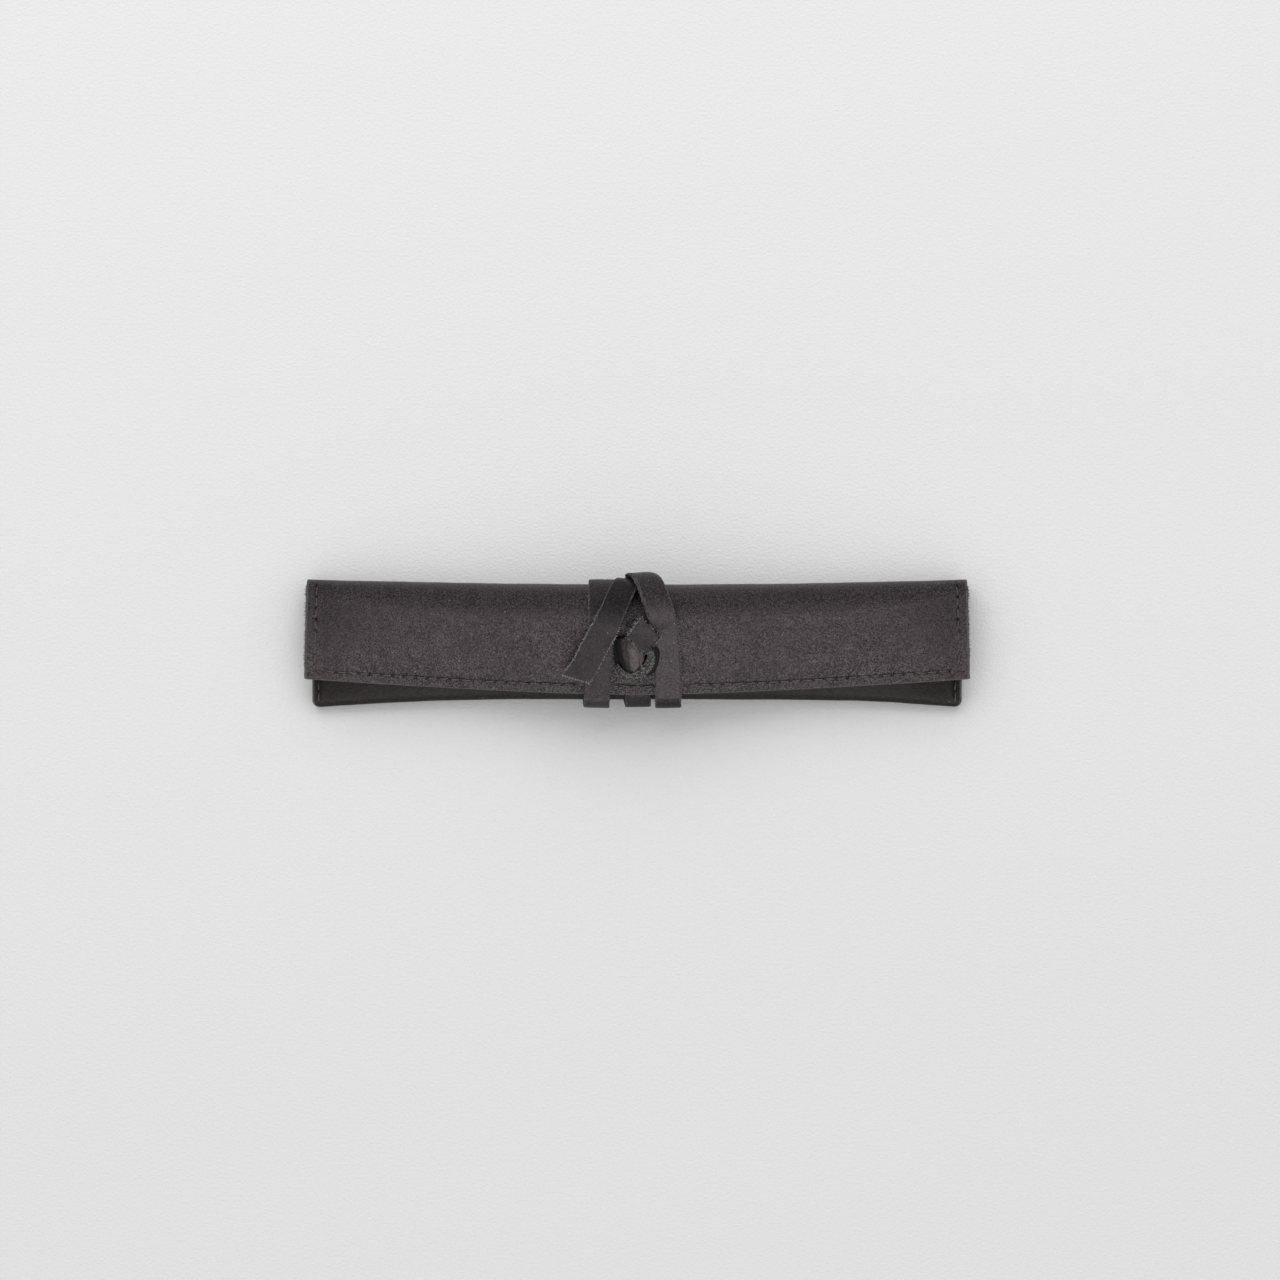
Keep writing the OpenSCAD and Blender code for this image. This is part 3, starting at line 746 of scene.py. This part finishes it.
seamHoleShade = needleHoleShade("seamHoleShade", seamRow(-1) + seamRow(1), long=0.75, wide=0.36, seed=9)
leftThread = stitchMesh("leftSeamThread", seamRow(-1) + seamRow(-1, True), seed=7)
rightThread = stitchMesh("rightSeamThread", seamRow(1) + seamRow(1, True), seed=8)
print("thread ready")


fibre = SimpleNamespace(**{
    "stray": 0.75, "bend": 0.4, "reach": (0.35, 1.0), "short": 1.4, "thick": (0.6, 1.2), "taper": 0.75,
})


def fuzz(name, roots, length, thick, seed, slot="lint"):
    # short tapered fibres; roots are (place, direction)
    pick = random.Random(seed)
    points, faces = [], []
    tube = tubeFaces(3, 3)

    def anyWay(most):
        return Vector([pick.uniform(-most, most) for _ in range(3)])
    for root, direction in roots:
        way = (Vector(direction).normalized() + anyWay(fibre.stray)).normalized()
        side = way.orthogonal().normalized()
        other = way.cross(side)
        bend = anyWay(fibre.bend)
        reach = length * pick.uniform(*fibre.reach) ** fibre.short
        radius = thick * pick.uniform(*fibre.thick)
        first = len(points)
        for share in (0, 0.5, 1):
            centre = Vector(root) + way * (reach * share) + bend * (reach * share * share)
            around = radius * (1 - fibre.taper * share)
            points += [centre + (side * cos + other * sin) * around for cos, sin in circle(3)]
        faces += [tuple(first + k for k in face) for face in tube]
    return makeMesh(name, points, faces, [slot])


# fibres on the flap's cut ends and along its free edge
flapFibres = SimpleNamespace(**{"ends": 150, "edge": 170, "reach": 87, "fromBand": 4.2})
pick = random.Random(11)
flapRoots = []
for side in (-1, 1):
    for k in range(flapFibres.ends):
        row = ("rise", pick.random()) if k % 3 else ("turn", pick.random() * 0.5)
        x, s, half = flapSpot(side, row)
        point, _ = flapPoint(x, s, waves(x, s) - pick.uniform(0.1, 1.1))
        flapRoots.append((point, (side, 0, 0.3)))
for k in range(flapFibres.edge):
    x = pick.uniform(-flapFibres.reach, flapFibres.reach)
    if fromBand(x) > flapFibres.fromBand:
        point, _ = flapPoint(x, 0.05, waves(x, 0) - pick.uniform(0.2, 1.0))
        flapRoots.append((point, (0, -1, -0.1)))
flapFuzz = fuzz("flapFuzz", flapRoots, length=0.6, thick=0.10, seed=12, slot="burr")


layer1 = sleeve.strapClear + sleeve.strapT / 2
layer2 = layer1 + sleeve.strapT + sleeve.layerGap
layer3 = layer2 + sleeve.strapT + sleeve.layerGap
strap = SimpleNamespace(**{
    # place on the rim, distance along the sleeve, height of the strap's middle
    "route": [
        (1.3, 0.4, layer1), (2.0, 0.3, layer1), (2.22, 0.26, layer1), (2.5, 0.2, layer1 + 0.75),
        (2.8, -0.3, layer1 + 0.3), (3.0, -0.8, layer1), (3.5, -4.6, layer1), (4.0, -8.4, layer1),
        (4.45, -9.3, layer1), (5.0, -9.4, layer1), (5.5, -9.9, layer1), (6.0, -10.6, layer1),
        (6.6, -10.9, layer1), (6.72, -10.9, layer1), (7.08, -10.2, layer2), (7.5, -5.2, layer2),
        (8.0, -0.2, layer2), (8.42, 0.5, layer2), (8.6, 2.5, layer3), (8.7, 3.9, layer3), (8.86, 6.2, layer2),
        (9.0, 7.3, layer1), (9.06, 7.33, layer1), (9.5, 8.0, layer1), (10.0, 8.2, layer1),
        (10.5, 8.2, layer1), (11.0, 7.6, layer1), (11.5, 3.6, layer1), (12.0, -0.2, layer1),
        (12.4, -0.98, layer1), (12.47, -1.2, layer1), (12.63, -2.8, layer2), (12.7, -3.8, layer2),
        (12.87, -6.3, layer2), (13.0, -8.4, layer2), (13.5, -13.4, layer2), (14.0, -18.5, layer2)],
    "start": 1.45652, "underTo": 2.95, "tailStart": 12.35, "tailEnd": 13.71, "keepOpen": 0.06,
    "slant": 18, "slantOver": 0.3, "edgeRound": 0.34, "crown": 0.05, "ragged": 0.12, "warp": 0.10, "cutRagged": 0.35,
    "archAt": 8.55, "archHalf": 0.16, "archDrop": 0.75,     # its last turn's right edge curls down over the top fold
})
route = strap.route
lean = math.tan(math.radians(strap.slant))


def rim(x, c, out, under):
    # a point round the sleeve: c counts the top fold, the front, the low fold and the back, one each
    q = c - 4 * math.floor(c / 4)
    s = section(round(x, 3))
    r1 = s.lowR if under else s.flapLowR
    top, r2 = (s.ridge, s.ridgeR) if under else (s.fold, s.foldR)
    a = tangent(s.low, r1, top, r2)
    if q < 1:
        y, z = onCircle(top, r2 + out, mix(-90, a, q))
    elif q < 2:
        p, w = onCircle(top, r2 + out, a), onCircle(s.low, r1 + out, a)
        y, z = mix(p[0], w[0], q - 1), mix(p[1], w[1], q - 1)
    elif q < 3:
        turn = mix(a, 270, q - 2)
        y, z = onCircle(s.low, mix(r1, s.lowR, ease(a, 188, turn)) + out, turn)
    else:
        y, z = mix(s.low[0], s.fold[0], q - 3), s.foot - out
    return Vector((x, y, z))


def alongRoute(c, k):
    # one of the route's numbers at c, on a smooth curve through its points
    i = 0
    while i < len(route) - 2 and route[i + 1][0] <= c:
        i += 1
    p, q = route[i], route[i + 1]
    w = q[0] - p[0]
    t = (c - p[0]) / w

    def slopeAt(n):
        if n <= 0 or n >= len(route) - 1:
            return 0.0
        return (route[n + 1][k] - route[n - 1][k]) / (route[n + 1][0] - route[n - 1][0])
    m, n = slopeAt(i) * w, slopeAt(i + 1) * w
    return mix(p[k], q[k], t * t * (3 - 2 * t)) + m * t * (1 - t) * (1 - t) - n * t * t * (1 - t)


def strapMid(c):
    return rim(alongRoute(c, 1), c, alongRoute(c, 2), c < strap.underTo)


def strapFrame(c):
    # the strap's middle at c, and the directions across it, out of it and along it
    x, out, under = alongRoute(c, 1), alongRoute(c, 2), c < strap.underTo
    across = rim(x + 1, c, out, under) - rim(x - 1, c, out, under)
    roundRim = rim(x, c + 0.01, out, under) - rim(x, c - 0.01, out, under)
    forward = (strapMid(c + 0.01) - strapMid(c - 0.01)).normalized()
    width = roundRim.cross(across).normalized().cross(forward).normalized()
    return strapMid(c), width, forward.cross(width), forward


def bandFace(w, t, e):
    # outline of the strap's section: top face, right cut edge, bottom face and left cut edge
    across = [-1, -0.96, -0.8, -0.5, 0, 0.5, 0.8, 0.96, 1]
    flat, half = w / 2 - e, t / 2
    cutEdge = [(flat + e * 0.7, half - e * 0.28), (flat + e, half - e), (flat + e * 1.02, 0),
               (flat + e, -half + e), (flat + e * 0.7, -half + e * 0.28)]
    ring = [(a * flat, half + strap.crown * (1 - a * a), "face") for a in across]
    ring += [(a, b, "edge") for a, b in cutEdge]
    ring += [(a * flat, -half, "face") for a in reversed(across)]
    ring += [(-a, b, "edge") for a, b in reversed(cutEdge)]
    return ring


def strapPiece(name, low, high, rings, finish="strap", slanted=False):
    face = bandFace(sleeve.strapW, sleeve.strapT, strap.edgeRound)
    n = len(face)
    points = []
    for k in range(rings + 1):
        c = mix(low, high, k / rings)
        middle, width, out, forward = strapFrame(c)
        skew = -lean * ease(strap.tailEnd - strap.slantOver, strap.tailEnd, c) if slanted else 0
        curl = strap.archDrop * bell(c - strap.archAt, strap.archHalf)
        for a, b, kind in face:
            side = 1 if a > 0 else -1
            jag = 0.0
            if kind == "edge":
                jag = noiseOf(c * 21, side * 5.0, b * 1.4) + 0.6 * noiseOf(c * 63, side * 9.0, b * 3)
            warp = strap.warp * noiseOf(c * 3.1, side * 2.0, 1.7)
            a2 = a + side * (strap.ragged * jag + warp * abs(a) / sleeve.strapW)
            point = middle + width * a2 + out * b + forward * (skew * a2)
            point -= out * (curl * max(0, a / 3.4) ** 3)
            if slanted and k == rings:
                point += forward * (strap.cutRagged * noiseOf(a * 2.1, b * 2.0, 4.0))
            points.append(point)
    isFace = [kind == "face" for _, _, kind in face]
    marks = [0 if isFace[q] and isFace[(q + 1) % n] else 1 for q in range(n)] * rings + [1, 1]
    sharp = [(first + q, first + (q + 1) % n) for first in (0, rings * n) for q in range(n)]
    return turnOutward(makeMesh(name, points, tubeFaces(rings + 1, n), [finish, "edge"], marks, sharp))


fine = 2
strapUnder = strapPiece("strapNeckLoop", strap.start, 5.0, 60 * fine)
leftBand = strapPiece("strapLeftBand", 5.0, 6.0, 30 * fine)
# the middle loop and the right band take the strap's leather in lighter colours, as painted light
strapMiddle = strapPiece("strapMiddleLoop", 6.0, 9.0, 70 * fine, "strapPaintedLight")
rightBand = strapPiece("strapRightBand", 9.0, 10.0, 30 * fine, "strapPaintedLight")
strapOver = strapPiece("strapUpperLoop", 10.0, strap.tailStart, 56 * fine, "tail")
tail = strapPiece("strapTail", strap.tailStart, strap.tailEnd, 66 * fine, "tail", True)


def strapEdge(low, high, side, steps, up):
    # places along a cut edge, each with the way its fibres grow and the ways out and across
    line = []
    for k in range(steps + 1):
        middle, width, out, _ = strapFrame(mix(low, high, k / steps))
        across = width * side
        line.append((middle + width * (side * sleeve.strapW / 2) + out * up, across + out * 0.5, out, across))
    return line


def edgeFibres(*stretches):
    return [(spot, way) for stretch in stretches for spot, way, _, _ in strapEdge(*stretch)]


def ridge(name, line, radius, slot, seed, sides=9, lumps=0.75):
    # a felted rim along a cut edge
    points = []
    for k, (spot, _, out, across) in enumerate(line):
        share = k / (len(line) - 1)
        taper = math.sin(math.pi * share) ** 0.5 if 0 < share < 1 else 0.1
        for cos, sin in circle(sides):
            r = radius * taper * (1 + lumps * noiseOf(k * 0.55, cos * 1.7 + seed, sin * 1.7))
            points.append(spot + out * (sin * r) + across * (cos * r))
    return turnOutward(makeMesh(name, points, tubeFaces(len(line), sides), [slot]))


# stretches of fibres: from and to on the route, side, count, height on the edge
archRim = ridge("archRim", strapEdge(8.38, 9.12, -1, 110, 0.15), radius=0.56, slot="edge", seed=3)
bandRoots = edgeFibres((8.4, 9.1, -1, 190, 0.3), (8.9, 10.0, 1, 50, 0.35), (9.2, 9.95, -1, 50, 0.35),
                       (5.0, 6.0, 1, 26, 0.35), (4.6, 6.0, -1, 40, 0.35))
bandFuzz = fuzz("bandFuzz", bandRoots, length=0.5, thick=0.075, seed=21)
tailRoots = edgeFibres((12.9, 13.7, -1, 120, 0.5), (12.95, 13.68, 1, 46, 0.4))
pick = random.Random(8)
middle, width, out, forward = strapFrame(strap.tailEnd)
for k in range(230):
    a = pick.uniform(-3.4, 3.4)
    spot = middle + width * a + out * pick.uniform(-0.35, 0.55) - forward * (lean * a + 0.1)
    tailRoots.append((spot, forward + out * 0.3))
tailFuzz = fuzz("tailFuzz", tailRoots, length=0.75, thick=0.17, seed=22)
print("strap ready")


# the knot's places are on the flap's slope, from a point up its middle
knot = SimpleNamespace(**{"up": 11.2, "slitAt": (-4.9, 1.2), "slitHalf": (1.5, 4.6), "slitSides": 24, "foot": 0.3})
knotAt = Vector(flapPoint(0, knot.up, 0)[0])
tilt = math.radians(section(0).turn - 90)


def onKnot(x, y, z):
    return knotAt + Vector((x, y * math.cos(tilt) - z * math.sin(tilt), y * math.sin(tilt) + z * math.cos(tilt)))


def slitShadePiece():
    # painted shadow: a near-black patch for the shaded mouth of the slit that the strap's neck comes up through, left
    # of the lobe
    (x0, y0), (wide, tall), sides = knot.slitAt, knot.slitHalf, knot.slitSides
    points = []
    for cos, sin in circle(sides):
        x, s = x0 + wide * cos, knot.up + y0 + tall * sin
        points.append(flapPoint(x, s, waves(x, s) + 0.06)[0])
    points.append(flapPoint(x0, knot.up + y0, 0.12)[0])
    return makeMesh("knotSlitShade", points, [(k, (k + 1) % sides, sides) for k in range(sides)], ["paintedShade"])


lobe = SimpleNamespace(**{
    "start": (-2.45, 5.9), "end": (-0.15, -4.6), "half": 3.75, "height": 3.7, "steps": (44, 40),
    "crest": 0.25, "steep": (2.6, 0.75), "rightDrop": 0.3, "aslant": 0.24, "darkTo": -0.62,
})


def lobePiece():
    # the strap rolled over: steep on its left, its crest a little right of the middle; its left side is painted
    # near-black as shade
    (x0, y0), (x1, y1) = lobe.start, lobe.end
    length = math.hypot(x1 - x0, y1 - y0)
    ax, ay = (x1 - x0) / length, (y1 - y0) / length
    foot, crest = knot.foot, lobe.crest
    nu, nv = lobe.steps
    points, faces, marks = [], [], []
    for i in range(nu + 1):
        u = i / nu
        fall = 1 - max(0, (u - 0.86) / 0.14) ** 2 * 0.75            # it drops towards both its ends
        fall *= 1 - 0.35 * max(0, (0.3 - u) / 0.3) ** 1.5
        wide = lobe.half * (0.86 + 0.16 * math.sin(math.pi * min(1, u * 1.05)))
        for j in range(nv + 1):
            v = mix(-1, 1, j / nv)
            if v < crest:
                lift = (1 - ((crest - v) / (crest + 1)) ** lobe.steep[0]) ** lobe.steep[1]
            else:
                lift = 1 - lobe.rightDrop * ((v - crest) / (1 - crest)) ** 2
            z = foot + (lobe.height - foot) * max(0, lift) * fall
            z += 0.10 * math.sin(v * 5.0 + u * 3.0) * lift + 0.12 * noiseOf(u * 4, v * 2.2, 5.0)
            z += 0.07 * noiseOf(u * 1.5, v * 13, 2.0) * lift        # fine creases along it
            if j in (0, nv):
                z = foot
            reach = u * length * (1 - lobe.aslant * max(0, (v + 0.1) / 1.1))      # its lower edge is cut aslant
            points.append(onKnot(x0 + ax * reach - ay * v * wide, y0 + ay * reach + ax * v * wide, z))
    m = nv + 1
    for i in range(nu):
        for j in range(nv):
            a = i * m + j
            faces.append((a, a + 1, a + m + 1, a + m))
            # faces left of this line take the near-black finish: painted shade on the lobe's steep left side
            marks.append(1 if mix(-1, 1, j / nv) < lobe.darkTo + 0.16 * noiseOf(i * 0.35, 1.0, 4.0) else 0)
    return makeMesh("knotLobe", points, faces + [tuple(gridBorder(nu, nv))], ["knot", "paintedShade"], marks + [0])


curl = SimpleNamespace(**{
    "at": (-1.0, 0.25), "radius": 4.7, "start": -150, "end": 46, "height": 3.9, "thick": 1.9, "steps": 64,
    "rise": (0, 0.3), "sink": (1.0, 0.8), "sinkOver": (0.8, 1), "wobble": 0.18, "flare": 1.6,
    "pull": (0.5, 0.53, 0.17), "swell": (0.45, 0.55, 0.2),      # how much, where along it, over what share
})


def curlPiece():
    # the curled cut edge round the lobe, with a frayed top
    points = []
    for i in range(curl.steps + 1):
        t = i / curl.steps
        angle = math.radians(mix(curl.start, curl.end, t))
        h = curl.height * (mix(0.3, 1.0, ease(*curl.rise, t)) * mix(*curl.sink, ease(*curl.sinkOver, t)))
        swell, pull = (most * bell(t - at, over) for most, at, over in (curl.swell, curl.pull))
        half = 0.5 * curl.thick * mix(0.25, 1.0, ease(0.05, 0.45, t)) * (1 + swell)
        r = curl.radius + curl.wobble * noiseOf(t * 9, 2.0, 7.0) - pull
        flare = curl.flare * ease(0.25, 0.6, t)
        ring = [(r - half, knot.foot), (r - half - 0.05, h * 0.6), (r - half, h - 0.45),
                (r - half + 0.22, h - 0.12), (r - 0.25, h + 0.05), (r + 0.25, h + 0.02), (r + half - 0.2, h - 0.15),
                (r + half + 0.05, h - 0.5), (r + half + 0.25 + flare * 0.4, h * 0.5),
                (r + half + 0.3 + flare, knot.foot)]
        for q, (rad, z) in enumerate(ring):
            if 2 <= q <= 7:
                rad += 0.10 * noiseOf(t * 40, q * 1.3, 3.0)
            if 3 <= q <= 6:
                z += 0.16 * noiseOf(t * 46, q * 2.1, 9.0)
            points.append(onKnot(curl.at[0] + rad * math.cos(angle), curl.at[1] + rad * math.sin(angle), z))
    n = len(ring)
    marks = [1 if 2 <= q <= 6 else 0 for q in range(n)] * curl.steps + [1, 1]
    return makeMesh("knotCurl", points, tubeFaces(curl.steps + 1, n), ["strap", "frayed"], marks)


tab = SimpleNamespace(**{
    # left, top, right and bottom corners, on its underside
    "corners": ((-2.51, 6.6, 2.9), (1.24, 11.6, 2.1), (6.08, 5.9, 1.75), (2.56, 2.2, 3.3)),
    "thick": 1.1, "steps": 26, "ragged": 0.15, "cup": 0.30, "cupDrop": 0.25, "soften": 0.14, "overhang": 1.0,
})


def tabPiece():
    # a square of leather, a little cupped, with ragged sides
    points, faces, marks = [], [], []
    n = tab.steps
    left, top, right, bottom = (Vector(corner) for corner in tab.corners)
    upWay, downWay = (top - left).normalized(), (bottom - left).normalized()
    for level in (1, 0):
        for i in range(n + 1):
            for j in range(n + 1):
                u, v = i / n, j / n
                spot = left.lerp(top, u).lerp(bottom.lerp(right, u), v)
                jag = tab.ragged * noiseOf(u * 11, v * 11, level * 0.4)
                if i in (0, n):
                    spot += upWay * (jag * (1 if i else -1))
                if j in (0, n):
                    spot += downWay * (jag * (1 if j else -1))
                if level == 0 and j == 0:
                    spot -= downWay * tab.overhang
                cup = tab.cup * ((2 * u - 1) ** 2 + 0.6 * (2 * v - 1) ** 2) - tab.cupDrop
                cup += 0.08 * noiseOf(u * 2.5, v * 2.5, 1.0)
                soften = (-tab.soften if level else tab.soften) * (i in (0, n) or j in (0, n))
                spot.z += cup + tab.thick * level + soften
                points.append(onKnot(*spot))
    m = n + 1
    for i in range(n):
        for j in range(n):
            a, b = i * m + j, m * m + i * m + j
            faces += [(a, a + m, a + m + 1, a + 1), (b, b + 1, b + m + 1, b + m)]
            marks += [0, 0]
    border = gridBorder(n, n)
    faces += [(a, b, b + m * m, a + m * m) for a, b in zip(border, border[1:] + border[:1])]
    return makeMesh("knotTab", points, faces, ["strap", "edge", "frayed"], marks + [1] * (3 * n) + [2] * n)


knotSlitShade, knotLobe, knotCurl, knotTab = (turnOutward(made()) for made in (slitShadePiece, lobePiece, curlPiece, tabPiece))

# torn fibres round the knot: on the curled edge, and between two of the tab's corners, so many
knotFibres = SimpleNamespace(**{"curl": 230, "sides": ((0, 1, 70), (1, 2, 22), (2, 3, 34), (3, 0, 46))})
knotRoots = []
pick = random.Random(31)
for k in range(knotFibres.curl):
    share = pick.uniform(0.12, 1.0)
    angle = math.radians(mix(curl.start, curl.end, share))
    r = curl.radius + pick.uniform(-0.6, 0.6)
    h = curl.height * mix(0.75, 1.0, ease(*curl.rise, share)) * mix(*curl.sink, ease(*curl.sinkOver, share)) - 0.1
    spot = onKnot(curl.at[0] + r * math.cos(angle), curl.at[1] + r * math.sin(angle), h)
    knotRoots.append((spot, (math.cos(angle) * 0.6, math.sin(angle) * 0.6, 0.7)))
corners = [Vector(corner) for corner in tab.corners]
for first, last, count in knotFibres.sides:
    away = (corners[first] + corners[last]) / 2 - sum(corners, Vector()) / 4
    for k in range(count):
        spot = corners[first].lerp(corners[last], pick.random())
        knotRoots.append((onKnot(spot.x, spot.y, spot.z + pick.uniform(0.1, 1.2)), (away.x, away.y, 0.6)))
knotFuzz = fuzz("knotFuzz", knotRoots, length=0.85, thick=0.10, seed=32)
print("knot ready")


# the body that the pieces ride on, or None for pieces left unattached, and their slot
for body, slot, pieces in (
        ("pouch", "hide", (pocketHide, seamHoleShade)), ("pouch", "lining", (pocketLining,)),
        ("pouch", "thread", (leftThread, rightThread)), (None, "hide", (flapHide, flapHoleShade, flapFuzz)),
        (None, "lining", (flapLining,)), (None, "thread", (flapThread, flapThreadInside)), (None, "strap", (tail,)),
        ("flap", "strap", (strapUnder, leftBand, strapMiddle, rightBand, strapOver, archRim, bandFuzz)),
        ("flap", "strap", (knotSlitShade, knotLobe, knotCurl, knotTab, knotFuzz)), ("loose_end", "strap", (tailFuzz,))):
    for piece in pieces:
        if body:
            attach(piece, body)
for piece, nodeName in (
        (pocketHide, "body_hide"), (pocketLining, "body_lining"), (flapHide, "flap_hide"),
        (flapLining, "flap_lining"), (flapThread, "flap_stitching"), (leftThread, "left_seam_stitching"),
        (rightThread, "right_seam_stitching"), (rightBand, "strap_wrap"), (knotLobe, "strap_knot"),
        (tail, "strap_tail")):
    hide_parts(nodeName)
for piece in (flapHide, flapLining, flapThread, flapThreadInside, flapHoleShade, flapFuzz):
    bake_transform(piece)
[v * mm for v in strapMid(12.6)]
[v * mm for v in strapMid(12.85)]
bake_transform(tail)
# the wound loops, the arch's rim and the band fibres each get a mesh of their own
for piece in (strapUnder, strapMiddle, strapOver, archRim, bandFuzz):
    outward(section(0).turn)
    [v * mm for v in strapMid(9.5)]
    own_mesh(piece)
print("pieces placed")

# a pale floor with a faint paper grain
ground = SimpleNamespace(**{"half": 3, "tone": 0.8, "rough": 0.9, "gloss": 0.2, "grain": 1500.0, "bump": 0.16})
floorMaterial, floorTree, floorShader, floorAt = newMaterial("floor")
floorShader["Base Color"].default_value = colour([ground.tone] * 3)
floorShader["Roughness"].default_value = ground.rough
floorShader["Specular IOR Level"].default_value = ground.gloss
paper = noiseAt(floorTree, floorAt, Scale=ground.grain, Detail=2.0, Roughness=0.5)["Fac"]
addBump(floorTree, floorShader, paper, ground.bump)
floorData = bpy.data.meshes.new("floor")
far = ground.half
floorData.from_pydata([(-far, -far, 0), (far, -far, 0), (far, far, 0), (-far, far, 0)], [], [(0, 1, 2, 3)])
floorData.materials.append(floorMaterial)
addObject("floor", floorData)
print("floor ready")
